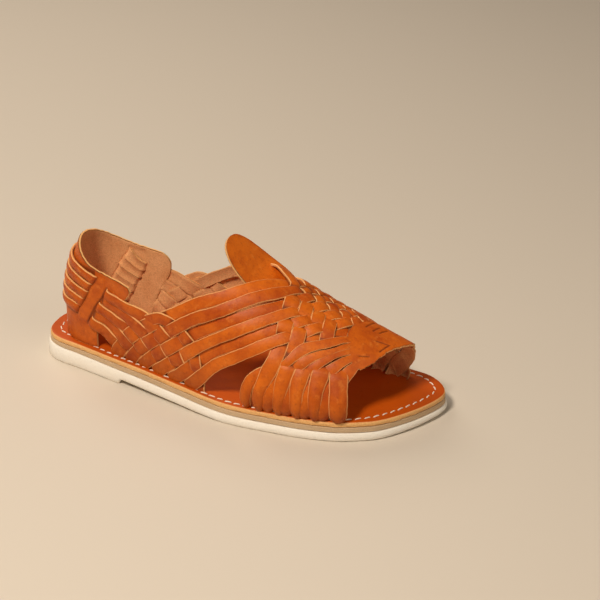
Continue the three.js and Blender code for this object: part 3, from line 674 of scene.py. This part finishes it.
def soft_step(low, high, value):
    """0 at low, 1 at high, which may be the smaller one."""
    t = np.clip((value - low) / (high - low), 0, 1)
    return t * t * (3 - 2 * t)


def border(points):
    """The points at a grid's edge, once round."""
    return np.concatenate([points[0, :-1], points[:-1, -1], points[-1, :0:-1], points[:0:-1, 0]])


def two_sided(build, top, bottom, tint, dark=0.0):
    """Leather between two grids of points: grain side on top, flesh side below, raw edges all round."""
    rows, columns = top.shape[:2]
    i, j = np.meshgrid(np.arange(rows), np.arange(columns), indexing="ij")
    from_edge = np.minimum(np.minimum(i, rows - 1 - i), np.minimum(j, columns - 1 - j))
    edge = (from_edge == 0) * 1.0
    # painted shade towards the raw edges, carried by the number rim
    clear_of_edge_shade = np.clip(from_edge / EDGE_SHADE_ROWS, 0, 1)
    out = top - bottom
    out *= (EDGE_ROUND * edge / np.linalg.norm(out, axis=2))[..., None]
    top, bottom = top - out, bottom + out
    build.grid(top, edge=edge, flesh=0.0, tint=tint, rim=clear_of_edge_shade, dark=dark)
    build.grid(bottom, flip=True, edge=edge, flesh=1.0, tint=tint, rim=clear_of_edge_shade)
    wall = np.stack([border(bottom), (border(bottom) + border(top)) / 2, border(top)])
    build.grid(wall, closed=True, flip=True, edge=1.0, flesh=0.0, tint=tint, rim=0.0)


def sheet(build, s, a, thickness, lift, tint, dark):
    """A sheet of leather over a grid of places on the last."""
    half = thickness / 2
    two_sided(build, surface(s, a, lift + half), surface(s, a, lift - half), tint, dark)


def near_cuts(flat, cuts, radius):
    """1 on the cuts, each a run of flat points, and 0 further from them than the radius."""
    nearest = np.full(flat.shape[:-1], np.inf)
    for cut in cuts:
        for p, q in zip(cut[:-1], cut[1:]):
            p, q = np.array(p, float), np.array(q, float)
            t = np.clip(((flat - p) @ (q - p)) / ((q - p) @ (q - p)), 0, 1)
            nearest = np.minimum(nearest, np.linalg.norm(flat - p - t[..., None] * (q - p), axis=-1))
    return np.clip(1 - nearest / radius, 0, 1)


def slit_lines(slits):
    """Each slit as a short line that leans the way its row of slits runs."""
    lean = np.gradient(slits, axis=0)
    lean *= SLIT_HALF / np.linalg.norm(lean, axis=1)[:, None]
    return [(place - way, place + way) for place, way in zip(slits, lean)]


def strap_leather():
    """Vegetable-tanned leather: satin orange-tan grain side, pale raw edges, pinkish suede inside."""
    m = Material("strap_leather")
    edge, flesh, tint, clear_of_edge_shade, dark = (m.number(name) for name in ("edge", "flesh", "tint", "rim", "dark"))
    cloud = m.noise(size=13, detail=5, rough=0.65)
    fine = m.noise(size=2.4, detail=4)
    pores = m.cells(size=0.55)
    scuff = m.noise(size=6, detail=5, rough=0.7)
    fuzz = m.noise(size=0.9, detail=5, rough=0.7)
    blot = m.noise(size=13, detail=3)
    grain = mix((cloud - 0.5) * 2.1 + tint * 0.6 + 0.25, *GRAIN)
    grain = mix(fine.above(0.52, 0.75) * 0.42, grain, GRAIN_DARK)
    grain = mix(scuff.above(0.55, 0.70) * 0.34, grain, GRAIN_SCUFF)
    # painted shade: the grain is darker towards the edges, where the strap rounds away
    grain = mix((1 - clear_of_edge_shade) * 0.40, grain, GRAIN_EDGE_SHADE)
    # painted shade under covering straps and the counter, in slits and cuts and low on the walls; the darker
    # feet also go here
    grain = mix(dark * 0.72, grain, GRAIN_PAINTED_SHADE)
    suede = mix((fuzz - 0.42) * 2.4, mix(blot, *SUEDE), SUEDE_DARK)
    colour = mix(edge, mix(flesh, grain, suede), mix(fuzz, *CUT_EDGE))
    roughness = 0.36 + 0.16 * fine + flesh * 0.45 + edge * 0.3
    height = pores * 0.3 * (1 - flesh) + fine * 0.6 + scuff * 2.2 + fuzz * (flesh + edge) * 2.6
    return m.finish(colour, roughness, height, depth=0.14, specular=0.25)


leather = strap_leather()
rise = edge_steps(0, 1, narrow=0.008, first=0.03, count=46)[:, None]
# from the inner wing's front edge at 1, round the heel's back at 0, to the outer wing's at -1
turn = edge_steps(-1, 1, narrow=0.005, first=0.015, count=240)[::-1]
front = np.where(turn < 0, along(COUNTER_FRONT, rise[:, 0]), along(INNER_FRONT, rise[:, 0]))
s = BACK + (front - BACK) * np.abs(turn)
rate, bend, bend_rate = COLLAR_WAVES
wobble = COLLAR_WOBBLE * np.sin(turn * rate + bend * np.sin(turn * bend_rate))
height = COUNTER_FOOT + (along(COLLAR, s)[..., 0] - COUNTER_FOOT + wobble) * rise
rear_at = np.interp(height, REAR_SLITS[::-1, 1], REAR_SLITS[::-1, 0])
forward = np.where(turn < 0, 0, INNER_SLIT_SHIFT)
front_at = np.interp(height, FRONT_SLITS[::-1, 1], FRONT_SLITS[::-1, 0]) + forward
before, after = BRIDGE_SOFT
bridge = soft_step(rear_at - before, rear_at + after, s) * soft_step(front_at + before, front_at - after, s)
bridge *= soft_step(*BRIDGE_FOOT, height) * soft_step(*BRIDGE_TOP, height)
# painted shade round each slit, and on the sheet under the straps behind the rear slits
rear_slit_shade = near_cuts(np.stack([s, height], -1), slit_lines(REAR_SLITS), SLIT_SHADE)
front_slit_shade = near_cuts(np.stack([s - forward, height], -1), slit_lines(FRONT_SLITS), SLIT_SHADE)
covered = soft_step(rear_at, rear_at - 1, s) * soft_step(*BAND_FOOT, height) * soft_step(*BAND_TOP, height)
dark = np.maximum(np.maximum(rear_slit_shade, front_slit_shade), BAND_DARK * covered)
lift = FLARE[0] * np.exp(-height / FLARE[1]) + BRIDGE_LIFT * bridge
build = Builder()
sheet(build, s, heel_across(height, np.where(turn < 0, -1, 1)), COUNTER, lift, COUNTER_TINT, dark)
build.piece("heel_counter", leather, "upper", angle=LEATHER_ANGLE)


# Woven straps
# Straps about 9.5 mm wide, woven over and under. Vamp straps rise from slits in the insole, cross the
# instep and end as loops. Heel straps run round the counter, through its slits and into the insole.
# Toe strips are cut from the toe plate and go down into the insole beside the loops.

STRAP = 1.8
STRAP_WIDTH = 9.5
WEAVE = 0.95                        # where a strap crosses another it is this much higher or lower
VAMP = [   # from the slit up to the ridge, as places and rises; the last number is the place on the ridge
    ((-80, 0), (-66, 0.18), (-34, 0.40), (-3, 0.60), (18.5, 0.795), (30.5, 0.925), 37),
    ((-68, 0), (-57, 0.13), (-25, 0.37), (-1.5, 0.525), (21.5, 0.725), (32.5, 0.83), (40.5, 0.945), 43.5),
    ((-58, 0), (-47, 0.10), (-15.5, 0.34), (0, 0.455), (24, 0.64), (38.5, 0.78), (46, 0.90), 51.5),
    ((-46, 0), (-36, 0.08), (-6, 0.32), (14, 0.475), (26, 0.57), (39, 0.69), (51, 0.835), 61.5),
    ((-33, 0), (-24, 0.065), (1.5, 0.30), (15.5, 0.40), (27.5, 0.495), (44, 0.64), (56.5, 0.775), 72),
    ((-19, 0), (-12, 0.06), (2.5, 0.215), (16.5, 0.32), (29, 0.415), (53, 0.625), (61.5, 0.72),
     (75, 0.885), 81)]
SHORT_END = (6, 0.08)               # the last vamp strap ends under the plate, just past the ridge
LOOP_DOWN = (0, 0.15, 0.3, 0.45, 0.6, 0.75, 0.87, 1)     # how far down the loops are, and their places there
LOOPS = [
    (38.5, 42.3, 43.5, 44.4, 43.0, 38.6, 35.0, 35.1), (49, 51.7, 53.0, 53.6, 52.6, 50.3, 49.0, 48.6),
    (57.5, 60.2, 61.9, 62.7, 62.4, 60.4, 60.6, 61.0), (66.5, 68.4, 70.2, 72.6, 73.3, 72.4, 72.5, 72.8),
    (74.5, 76.6, 79.4, 81.9, 84.4, 86.3, 87.0, 87.0)]
INNER_SHIFT = 22                    # inner loops stand this much further forward at their feet
INNER_LEAN = 1.4
TURNED_STRAP = [(-52, 37), (-41, 42.5), (-28, 38.5), (-20, 33), (-15, 26), (-12, 14), (-10, 0)]
HEEL_STRAPS = [   # places and heights, from the heel's back
    [(BACK, 57.5), (-122, 56.5), (-106, 54.5), (-96, 51.5), (-88, 45.5), (-75, 41.5), (-58, 38), (-46, 33),
     (-37, 26.5), (-29, 17), (-22, 0)],
    [(BACK, 49), (-122, 49), (-108, 47.5), (-100, 45), (-91, 39.5), (-80, 35.5), (-66, 31), (-54, 25),
     (-44, 16), (-34, 0)],
    [(BACK, 41), (-122, 41.3), (-110, 40.5), (-102, 38.5), (-94.5, 33.5), (-82, 28), (-68, 22), (-57, 13),
     (-47, 0)],
    [(BACK, 33.5), (-122, 34), (-112, 33.8), (-105, 32), (-97, 27.5), (-84, 21), (-72, 13), (-60, 0)],
    [(BACK, 25.5), (-124, 26.5), (-114, 27), (-108, 26), (-99.5, 21), (-90, 15.5), (-82, 9), (-74, 0)]]
TOE_STRIPS = [   # places and rises, from the plate
    [(92, 0.79), (83, 0.74), (72, 0.64), (59.5, 0.535), (49.5, 0.38), (38, 0.29), (28.5, 0.20), (25.5, 0.09),
     (26, 0)],
    [(93, 0.735), (85.5, 0.685), (76.5, 0.59), (66, 0.495), (57.5, 0.39), (48.5, 0.30), (43, 0.20),
     (41.3, 0.1), (40.8, 0)],
    [(94, 0.69), (88.5, 0.65), (80, 0.57), (71, 0.46), (64.5, 0.36), (57.5, 0.25), (54, 0.13), (53, 0)],
    [(97, 0.66), (92.5, 0.62), (86, 0.545), (78, 0.42), (70.5, 0.325), (66.8, 0.215), (65.8, 0.11),
     (65.2, 0)],
    [(101, 0.635), (95.5, 0.595), (90.8, 0.48), (86, 0.36), (79.5, 0.27), (77.5, 0.14), (77, 0)]]
INNER_STRIPS = [   # places and how far across, from the plate
    [(88, 0.05), (77, 0.2), (65, 0.4), (55, 0.62), (47, 0.85), (48, 1)],
    [(92, 0.1), (85, 0.25), (75, 0.48), (66, 0.75), (62.5, 0.9), (63, 1)],
    [(97.5, 0.15), (94.5, 0.32), (86.5, 0.55), (78, 0.8), (75.5, 1)],
    [(105.5, 0.3), (104.2, 0.44), (98.2, 0.62), (91, 0.82), (88.5, 1)],
    [(113, 0.34), (112.6, 0.46), (110, 0.65), (103, 0.87), (99, 1)]]
JOIN = 0.4                # the halves of a strap round the heel overlap this much behind
OVERLAP = 0.15            # straps that lie side by side press together this much
SPREAD = 1.35             # a strap spreads this much where its neighbours leave room
LEAST_HALF = 1.2
HEEL_TINTS = (0.2, 0.618, 0.6)     # start, step and range; the other straps' tints are drawn
TINTS = (0.15, 0.85)
SHADE = 1.5               # painted shade: a strap is darker this near to the one that covers it
COVERED_INSET = 0.4
BELLY_HEIGHT = 26         # loops bulge outwards up to this height over the insole
FOOT_ROUND = 4.5          # and turn in to their slit below this one
FOOT_DEPTH = 1.2          # their feet go this deep into the insole
FOOT_FROM = 0.985
FOOT_DARK = 0.4             # feet are darker towards the insole, up to this height
FOOT_DARK_HEIGHT = 15
ACROSS_RUN = 100          # one side of the last counts as this long in a strap's run
ACROSS_HEIGHT = 75        # and as this high over the insole
EDGE_WAVES = ((0.10, 0.35, 40), (0.06, 0.83, 90))
EDGE_SHADE_SHARE = 0.25          # painted shade: the grain is darker over this share of a half width from the edge
TILT_FADE = (0.45, 0.3)   # a heel strap lies aslant on its first part only
LEAST_STEPS = 24
SAMPLES = 61
TRACK = 161
ROOM_BLUR = 9
NUDGE = 0.4               # small steps along and across for the slopes of the surface
NUDGE_ACROSS = 0.003
NUDGE_END = 0.995
SECTION = np.array([   # once round a strap: across, level, how raw (on the top face's outer band partly a painted highlight along the cut edge), how dark (painted shade low on the side walls), and 1 on its flesh side
    (-0.955, 0.96, 0.7, 0, 0), (-0.86, 1, 0, 0, 0), (-0.62, 1, 0, 0, 0), (-0.32, 1, 0, 0, 0),
    (0, 1, 0, 0, 0), (0.32, 1, 0, 0, 0), (0.62, 1, 0, 0, 0), (0.86, 1, 0, 0, 0), (0.955, 0.96, 0.7, 0, 0),
    (1, 0.62, 1, 0, 0), (1, -0.62, 0.35, 0.8, 0), (0.93, -1, 0.1, 0.8, 1), (0.5, -1, 0, 0, 1),
    (0, -1, 0, 0, 1), (-0.5, -1, 0, 0, 1), (-0.93, -1, 0.1, 0.8, 1), (-1, -0.62, 0.35, 0.8, 0),
    (-1, 0.62, 1, 0, 0)])
# widths and crowns along each kind of strap, from 0 to 1, and how far its two ends bulge
VAMP_WIDTH = (
    (0, 8.2), (0.08, 9.6), (0.5, 9.8), (0.8, 9.2), (0.88, 8.0), (0.94, 6.4), (0.975, 5.8), (1, 4.4))
LAST_LOOP_WIDTH = ((0, 8.2), (0.08, 9.6), (0.8, 9.0), (0.94, 8.8), (0.975, 8.2), (1, 6.0))
SHORT_WIDTH = ((0, 8.2), (0.1, 9.6), (1, 9.2))
VAMP_CROWN = ((0, 0.5), (0.1, 0.4), (0.5, 0.4), (0.75, 0.4), (0.87, 0.8), (0.94, 2.2), (1, 2.8))
SHORT_CROWN = ((0, 0.5), (0.1, 0.4), (1, 0.4))
VAMP_BELLY = (0.6, 3.4)
SHORT_BELLY = (0.6, 0.0)
TURNED_WIDTH = ((0, 8), (1, 9))
TURNED_CROWN = ((0, 0.2), (1, 0.2))
HEEL_WIDTH = ((0, 6.9), (0.27, 6.5), (0.33, 6.6), (0.45, 9.0), (0.7, 9.6), (1, 8.6))
HEEL_CROWN = ((0, 1.0), (0.2, 1.0), (0.3, 1.3), (0.4, 0.9), (0.6, 0.5), (1, 0.4))
NO_BELLY = (0.0, 0.0)
TOE_WIDTH = ((0, 8.0), (0.3, 8.8), (0.6, 8.4), (0.85, 8.0), (0.95, 7.6), (1, 5.4))
WIDE_TOE_WIDTH = ((0, 11), (0.4, 11.5), (0.8, 9), (1, 6))
WIDE_FROM = 3             # the inner side's foremost toe strips are wide ones
TOE_CROWN = ((0, 0.05), (0.5, 0.4), (0.75, 0.9), (0.9, 2.2), (1, 2.8))
TOE_BELLY = (0.0, 3.2)


class Strap:
    """One strap: its middle line over the last, and its width, crown and lift along the line."""
    def __init__(self, kind, side, order, nodes, width, crown, belly):
        self.kind = kind
        self.family = kind + "_" + side
        self.order = order
        nodes = np.asarray(nodes, float)
        steps = np.hypot(np.diff(nodes[:, 0]), np.diff(nodes[:, 1]) * ACROSS_RUN)
        self.rows = np.column_stack([np.concatenate([[0], np.cumsum(steps)]), nodes])
        self.length = self.rows[-1, 0]
        self.width = width
        self.crown = crown
        self.belly = belly
        self.tilt = 0.0
        self.spread = SPREAD
        self.room = None
        self.lifts = []           # places along the strap, and heights there
        self.covered = []         # places where another strap covers it, and how far to each side, which get painted shade
        start, step, reach = HEEL_TINTS
        self.tint = start + step * order % reach if kind == "heel" else rng.uniform(*TINTS)
        self.samples = self.place(np.linspace(0, self.length, SAMPLES))
        self.track = surface(*self.place(np.linspace(0, self.length, TRACK)).T)

    def place(self, run):
        """Places s and a on the last, that far along the strap."""
        return along(self.rows, run)

    def leave_room(self, other):
        """Keeps the half widths along this strap to those that just reach a neighbour."""
        apart = np.linalg.norm(self.track[:, None] - other.track[None], axis=2).min(1)
        room = np.maximum(apart / 2 + OVERLAP, LEAST_HALF)
        self.room = room if self.room is None else np.minimum(self.room, room)

    def meet(self, other):
        """How far along each strap the two cross, or None."""
        p, q = self.samples[:-1, None], other.samples[None, :-1]
        r, w = np.diff(self.samples, axis=0)[:, None], np.diff(other.samples, axis=0)[None]
        turn = r[..., 0] * w[..., 1] - r[..., 1] * w[..., 0]
        turn = np.where(np.abs(turn) < TINY, TINY, turn)
        d = q - p
        t = (d[..., 0] * w[..., 1] - d[..., 1] * w[..., 0]) / turn
        u = (d[..., 0] * r[..., 1] - d[..., 1] * r[..., 0]) / turn
        hit = np.argwhere((t >= 0) & (t < 1) & (u >= 0) & (u < 1))
        if not len(hit):
            return None
        i, j = hit[0]
        return (i + t[i, j]) / (SAMPLES - 1) * self.length, (j + u[i, j]) / (SAMPLES - 1) * other.length

    def lift(self, run):
        """Plateaus of height at the places where the strap lies over or under another."""
        at, height = np.array(sorted(self.lifts)).T
        i = np.clip(np.searchsorted(at, run, side="right") - 1, 0, len(at) - 2)
        t = soft_step(0, np.maximum(at[i + 1] - at[i], TINY), run - at[i])
        t = (t + soft_step(0, 1, t)) / 2
        return height[i] + (height[i + 1] - height[i]) * t

    def half_width(self, run):
        """Half widths that fill the room between the neighbours, with slightly uneven edges."""
        at = run / self.length
        half = along(self.width, at)[:, 0] / 2
        if self.room is not None:
            room = np.pad(self.room, ROOM_BLUR // 2, mode="edge")
            room = np.convolve(room, np.ones(ROOM_BLUR) / ROOM_BLUR, "valid")
            half = np.minimum(half * self.spread, np.interp(at, np.linspace(0, 1, TRACK), room))
        return half + sum(size * np.sin(run * rate + self.tint * shift) for size, rate, shift in EDGE_WAVES)

    def aside(self, run, s, a):
        """One millimetre to the strap's side, as steps in s and a."""
        ahead = self.place(np.minimum(run + NUDGE, self.length))
        behind = self.place(np.maximum(run - NUDGE, 0))
        tangent = surface(*ahead.T) - surface(*behind.T)
        tangent /= np.linalg.norm(tangent, axis=1)[:, None]
        per_s = (surface(s + NUDGE, a) - surface(s - NUDGE, a)) / (2 * NUDGE)
        a = np.clip(a, -NUDGE_END, NUDGE_END)
        per_a = (surface(s, a + NUDGE_ACROSS) - surface(s, a - NUDGE_ACROSS)) / (2 * NUDGE_ACROSS)
        normal = np.cross(per_s, per_a)
        normal /= np.linalg.norm(normal, axis=1)[:, None]
        slopes = np.stack([per_s, per_a], 1)
        sideways = np.cross(normal, tangent)[..., None]
        return np.linalg.solve(slopes @ slopes.transpose(0, 2, 1), slopes @ sideways)[..., 0]

    def darkness(self, run, above_bed):
        """1 where another strap covers it, with painted shade fading out round that, less at its foot, and 0
        elsewhere.
        """
        dark = FOOT_DARK * soft_step(FOOT_DARK_HEIGHT, 0, above_bed)
        for place, reach in self.covered:
            dark = np.maximum(dark, soft_step(reach + SHADE, reach - SHADE / 2, np.abs(run - place)))
        return dark

    def make(self, build):
        """Adds the strap to a builder: its section, laid on the last at each step along it."""
        run = np.linspace(0, self.length, max(int(self.length), LEAST_STEPS) + 1)
        at = run / self.length
        s, a = self.place(run).T
        across, level, raw, low_wall_shade, flesh = SECTION.T
        above_bed = (1 - np.abs(a)) * ACROSS_HEIGHT
        turned = np.clip(above_bed / FOOT_ROUND, 0, 1)
        fading = np.clip((above_bed - FOOT_ROUND) / (BELLY_HEIGHT - FOOT_ROUND), 0, 1)
        arch = np.sqrt(1 - (1 - turned) ** 2) * (0.5 + 0.5 * np.cos(np.pi * fading))
        middle = self.lift(run) + np.where(at < 0.5, *self.belly) * arch
        crown = along(self.crown, at) * (0.5 - across**2)
        tilt = (self.tilt * soft_step(*TILT_FADE, at))[:, None] * across
        height = middle[:, None] + level * STRAP / 2 + crown + tilt
        w = across * self.half_width(run)[:, None]
        step = self.aside(run, s, a)
        points = surface(s[:, None] + step[:, :1] * w, a[:, None] + step[:, 1:] * w, height)
        foot = np.clip((np.abs(a) - FOOT_FROM) / (1 - FOOT_FROM), 0, 1)
        points[..., 2] -= (foot * FOOT_DEPTH)[:, None]
        rows = np.ones((len(run), 1))
        # painted shade towards the strap's edges, carried by the number rim
        clear_of_edge_shade = rows * np.clip((1 - np.abs(across)) / EDGE_SHADE_SHARE, 0, 1)
        # painted shade under covering straps and low on the side walls, with the darker feet
        dark = np.maximum(self.darkness(run, above_bed)[:, None], low_wall_shade)
        start = build.count
        build.grid(points, closed=True, flip=True,
                   edge=rows * raw, flesh=rows * flesh, tint=self.tint, rim=clear_of_edge_shade, dark=dark)
        build.faces.append(range(start, start + len(SECTION)))
        build.faces.append(range(build.count - 1, build.count - len(SECTION) - 1, -1))


def up_to_across(nodes, side):
    """Nodes across the last for nodes that say how far up one side they are."""
    return [(s, side * (1 - rise)) for s, rise in nodes]


def heel_nodes(nodes, side):
    """Nodes across the last for heights round the heel, where both halves of a strap overlap a little."""
    return [(s - JOIN * (s == BACK), float(heel_across(height, side))) for s, height in nodes]


def vamp_nodes(k, side):
    """From a slit over the ridge to the other side's loop; the last one ends under the plate."""
    *rear, ridge = VAMP[k]
    if k == len(LOOPS):
        return up_to_across(rear, side) + [(ridge, 0), (ridge + SHORT_END[0], -side * SHORT_END[1])]
    if side > 0:
        ridge = LOOPS[k][0]
    shift = INNER_SHIFT if side < 0 else 0
    front = [(place + shift * down**INNER_LEAN, -side * down) for place, down in zip(LOOPS[k], LOOP_DOWN)]
    return up_to_across(rear, side) + [(ridge, 0)] + front[1:]


def first_is_over(one, other):
    """Whether the first of two crossing straps is the upper one, by their places in their families."""
    if "toe" in (one.kind, other.kind):
        toe, vamp = (one, other) if one.kind == "toe" else (other, one)
        return (toe.order < vamp.order) == (one is toe)
    return ((one.order + other.order) % 2 == 0) != (one.kind == other.kind == "vamp")


straps = []
for side, name in ((-1, "outer"), (1, "inner")):
    for k in range(len(VAMP)):
        looks = (VAMP_WIDTH, VAMP_CROWN, VAMP_BELLY)
        if k == len(LOOPS) - 1:
            looks = (LAST_LOOP_WIDTH, VAMP_CROWN, VAMP_BELLY)
        if k == len(LOOPS):
            looks = (SHORT_WIDTH, SHORT_CROWN, SHORT_BELLY)
        straps.append(Strap("vamp", name, k + 1, vamp_nodes(k, side), *looks))
    nodes = heel_nodes(TURNED_STRAP, side)
    straps.append(Strap("heel", name, 0, nodes, TURNED_WIDTH, TURNED_CROWN, NO_BELLY))
    for k, row in enumerate(TOE_STRIPS):
        nodes = up_to_across(row, side) if side < 0 else INNER_STRIPS[k]
        width = WIDE_TOE_WIDTH if side > 0 and k >= WIDE_FROM else TOE_WIDTH
        straps.append(Strap("toe", name, k + 1, nodes, width, TOE_CROWN, TOE_BELLY))
    for k, row in enumerate(HEEL_STRAPS):
        nodes = heel_nodes(row, side)
        straps.append(Strap("heel", name, k + 1, nodes, HEEL_WIDTH, HEEL_CROWN, NO_BELLY))

for i, one in enumerate(straps):
    for other in straps[i + 1:]:
        if one.family == other.family:
            if abs(one.order - other.order) == 1 and one.order * other.order:
                one.leave_room(other)
                other.leave_room(one)
            continue
        kinds = {one.kind, other.kind}
        if "toe" in kinds and kinds != {"toe", "vamp"}:
            continue
        hit = one.meet(other)
        if hit is None:
            continue
        pair = [(one, hit[0]), (other, hit[1])]
        if not first_is_over(one, other):
            pair.reverse()
        (upper, upper_at), (lower, lower_at) = pair
        upper.lifts.append((upper_at, WEAVE))
        lower.lifts.append((lower_at, -WEAVE))
        # painted shade on the lower strap round the crossing
        lower.covered.append((lower_at, STRAP_WIDTH / 2 - COVERED_INSET))

OUTSIDE = COUNTER / 2 + STRAP / 2 + 0.15      # a heel strap's lift where it lies on the counter
DIVE = (-2, 2.2)                              # where it goes in at the rear slit, to each side of it
RISE = (-1.5, 2.5)                            # and where it comes out of the front slit
SETTLE = 13                                   # after that it settles over this length
HEEL_LIFTS = ((1.5, 0.1), (OUTSIDE + 0.5, 1.2))     # under another strap there, or over it
HEEL_TILT = 0.9
BRIDGE_INSET = 0.5
SLIT_SHADE_REACH = 1.2
RUN_STEPS = 600
PLATE_LIFT = 0.5
UNDER_PLATE = {"toe_outer": (6, 6, 7, 8, 16), "toe_inner": (4, 5, 9, 14, 9)}     # where toe strips come out
PLATE_DROPS = (0.8, 0.6, 0.1)                 # how far under the plate they lie, up to there
BEFORE_OUT = 3
TOE_FOOT_LIFT = -0.2
LOOP_FOOT_LIFT = 0.6


def lift_heel_strap(strap):
    """Lays a heel strap on the counter, through its two slits, and over or under the straps in front."""
    k = strap.order - 1
    inner = strap.family == "heel_inner"
    over = k % 2 == 0
    rear = REAR_SLITS[k][0]
    front = FRONT_SLITS[k][0] + (INNER_SLIT_SHIFT if inner else 0)
    runs = np.linspace(0, strap.length, RUN_STEPS)
    places = strap.place(runs)[:, 0]

    def run_at(s):
        return np.interp(s, places, runs)

    out, settled = HEEL_LIFTS[over]
    strap.lifts += [(0, OUTSIDE), (run_at(rear + DIVE[0]), OUTSIDE), (run_at(rear + DIVE[1]), -OUTSIDE),
                    (run_at(front + RISE[0]), -OUTSIDE), (run_at(front + RISE[1]), out),
                    (run_at(front + SETTLE), settled)]
    half = (run_at(front) - run_at(rear)) / 2
    # painted shade where the strap runs under the counter's bridge and, for a strap under the next one,
    # where it comes out of the front slit
    strap.covered.append((run_at((rear + front) / 2), half - BRIDGE_INSET))
    if not over:
        strap.covered.append((run_at(front + 1), SLIT_SHADE_REACH))
    strap.tilt = -HEEL_TILT if inner else HEEL_TILT


def lift_toe_strip(strap):
    """Keeps a toe strip under the plate up to where it comes out, and its foot down on the last."""
    k = strap.order - 1
    hidden = UNDER_PLATE[strap.family][k]
    if k == 0:
        strap.spread = 1.0
    start, before, out = (PLATE_LIFT - drop for drop in PLATE_DROPS)
    strap.lifts += [(0, start), (hidden - BEFORE_OUT, before), (hidden, out), (strap.length, TOE_FOOT_LIFT)]


for strap in straps:
    if strap.kind == "heel" and strap.order:
        lift_heel_strap(strap)
    elif strap.kind == "toe":
        lift_toe_strip(strap)
    else:
        strap.lifts.append((strap.length, LOOP_FOOT_LIFT if strap.order <= len(LOOPS) else -WEAVE))

for family in ("heel_outer", "heel_inner", "vamp_outer", "vamp_inner", "toe_outer", "toe_inner"):
    build = Builder()
    for strap in straps:
        if strap.family == family:
            strap.make(build)
    build.piece(family + "_straps", leather, "upper", angle=LEATHER_ANGLE)


# Toe plate
# The smooth front end of the sheet that the toe strips are cut from, of the same leather. It lies over
# the ends of the strips, and has short slits and a raw, slightly torn front edge.

TOE_PLATE = np.array([   # across, place of the rear edge, place of the front edge
    (-0.50, 91, 96), (-0.42, 88.5, 101), (-0.29, 83.5, 105.5), (-0.2, 80.8, 108), (-0.1, 81.2, 111.5),
    (0, 83.5, 114.7), (0.13, 90, 117.5), (0.22, 97, 117.8), (0.34, 101, 117), (0.42, 101.5, 116.6)])
PLATE_CUTS = [   # places along and across
    [(88.5, -0.03), (91, 0.13)], [(93.5, -0.04), (95.5, 0.075)], [(97.5, -0.025), (100.5, 0.11)],
    [(98.5, -0.15), (106.5, -0.125), (103, -0.26)], [(91.5, -0.385), (98, -0.355)]]
# painted shade reaches this far round the cuts
PLATE_CUT_SHADE = 0.8
PLATE_CUT_DEPTH = 0.5
PLATE_TINT = 0.55
TORN = ((0.21, 61, 0), (0.15, 143, 1))

a = edge_steps(TOE_PLATE[0, 0], TOE_PLATE[-1, 0], narrow=0.003, first=0.01, count=140)[:, None]
t = edge_steps(0, 1, narrow=0.012, first=0.03, count=80)
rear, front = np.hsplit(along(TOE_PLATE, a[:, 0]), 2)
torn = sum(size * np.sin(a * rate + shift) for size, rate, shift in TORN)
s = rear + (front + torn - rear) * t
a = np.repeat(a, len(t), 1)
cuts = [[(place, across * ACROSS_HEIGHT) for place, across in cut] for cut in PLATE_CUTS]
cut = near_cuts(np.stack([s, a * ACROSS_HEIGHT], -1), cuts, PLATE_CUT_SHADE)
build = Builder()
# the cuts dip into the sheet, with painted shade in them
sheet(build, s, a, STRAP, PLATE_LIFT - PLATE_CUT_DEPTH * cut, PLATE_TINT, cut)
build.piece("toe_plate", leather, "upper", "upper", angle=LEATHER_ANGLE)


# Tongue
# One long leaf of the same leather, held by the plait over its lower end. It stands up and back from
# there, with a rounded tip and pale raw edges, and leans towards the inner side.

TONGUE = np.array([   # x, height, half width
    (-9.6, 106.4, 2.2), (-8.9, 105.6, 6.2), (-7, 103.6, 10.3), (-2, 98.6, 14.9), (4, 93.0, 17.5),
    (12, 86.6, 19.0), (25, 79.0, 18.0), (38, 72.0, 13.0), (50, 65.0, 9.0)])
TONGUE_ROWS = 60
TONGUE_SIDE = 3.6         # how far the leaf is from the ridge, to the inner side
TONGUE_LEAN = 0.12        # its inner edge is the higher one
TONGUE_CUP = 0.04         # and both edges bend down a little
TONGUE_TINT = 1.1

tip, root = TONGUE[0, 0], TONGUE[-1, 0]
x = root - (root - tip) * np.sin(np.linspace(0, np.pi / 2, TONGUE_ROWS))
z, half = along(TONGUE, x).T[..., None]
normal = np.column_stack([-np.gradient(z[:, 0], x), np.zeros_like(x), np.ones_like(x)])
normal /= np.linalg.norm(normal, axis=1)[:, None]
across = edge_steps(-1, 1, narrow=0.02, first=0.07, count=27)
y = along(LAST, x)[:, :1] + TONGUE_SIDE + across * half
z = z + (TONGUE_LEAN * across - TONGUE_CUP * across**2) * half
points = np.stack([np.repeat(x[:, None], len(across), 1), y, z], -1)
lift = STRAP / 2 * normal[:, None]
build = Builder()
two_sided(build, points + lift, points - lift, TONGUE_TINT)
build.piece("tongue_leaf", leather, "tongue", "tongue", angle=LEATHER_ANGLE)


# Floor
# A plain pale floor under the shoe, wide enough to fill the picture. It isn't part of the shoe, so it isn't
# attached to the shoe's body.

FLOOR_HALF = 6            # in metres
FLOOR_COLOUR = (0.66, 0.59, 0.50)
floor_mesh = bpy.data.meshes.new("floor")
corners = [(x * FLOOR_HALF, y * FLOOR_HALF, 0) for x, y in ((-1, -1), (1, -1), (1, 1), (-1, 1))]
floor_mesh.from_pydata(corners, [], [(0, 1, 2, 3)])
floor_mesh.materials.append(Material("floor_plain").finish(FLOOR_COLOUR, 0.8))
floor = bpy.data.objects.new("floor", floor_mesh)
bpy.context.scene.collection.objects.link(floor)

bpy.context.view_layer.update()
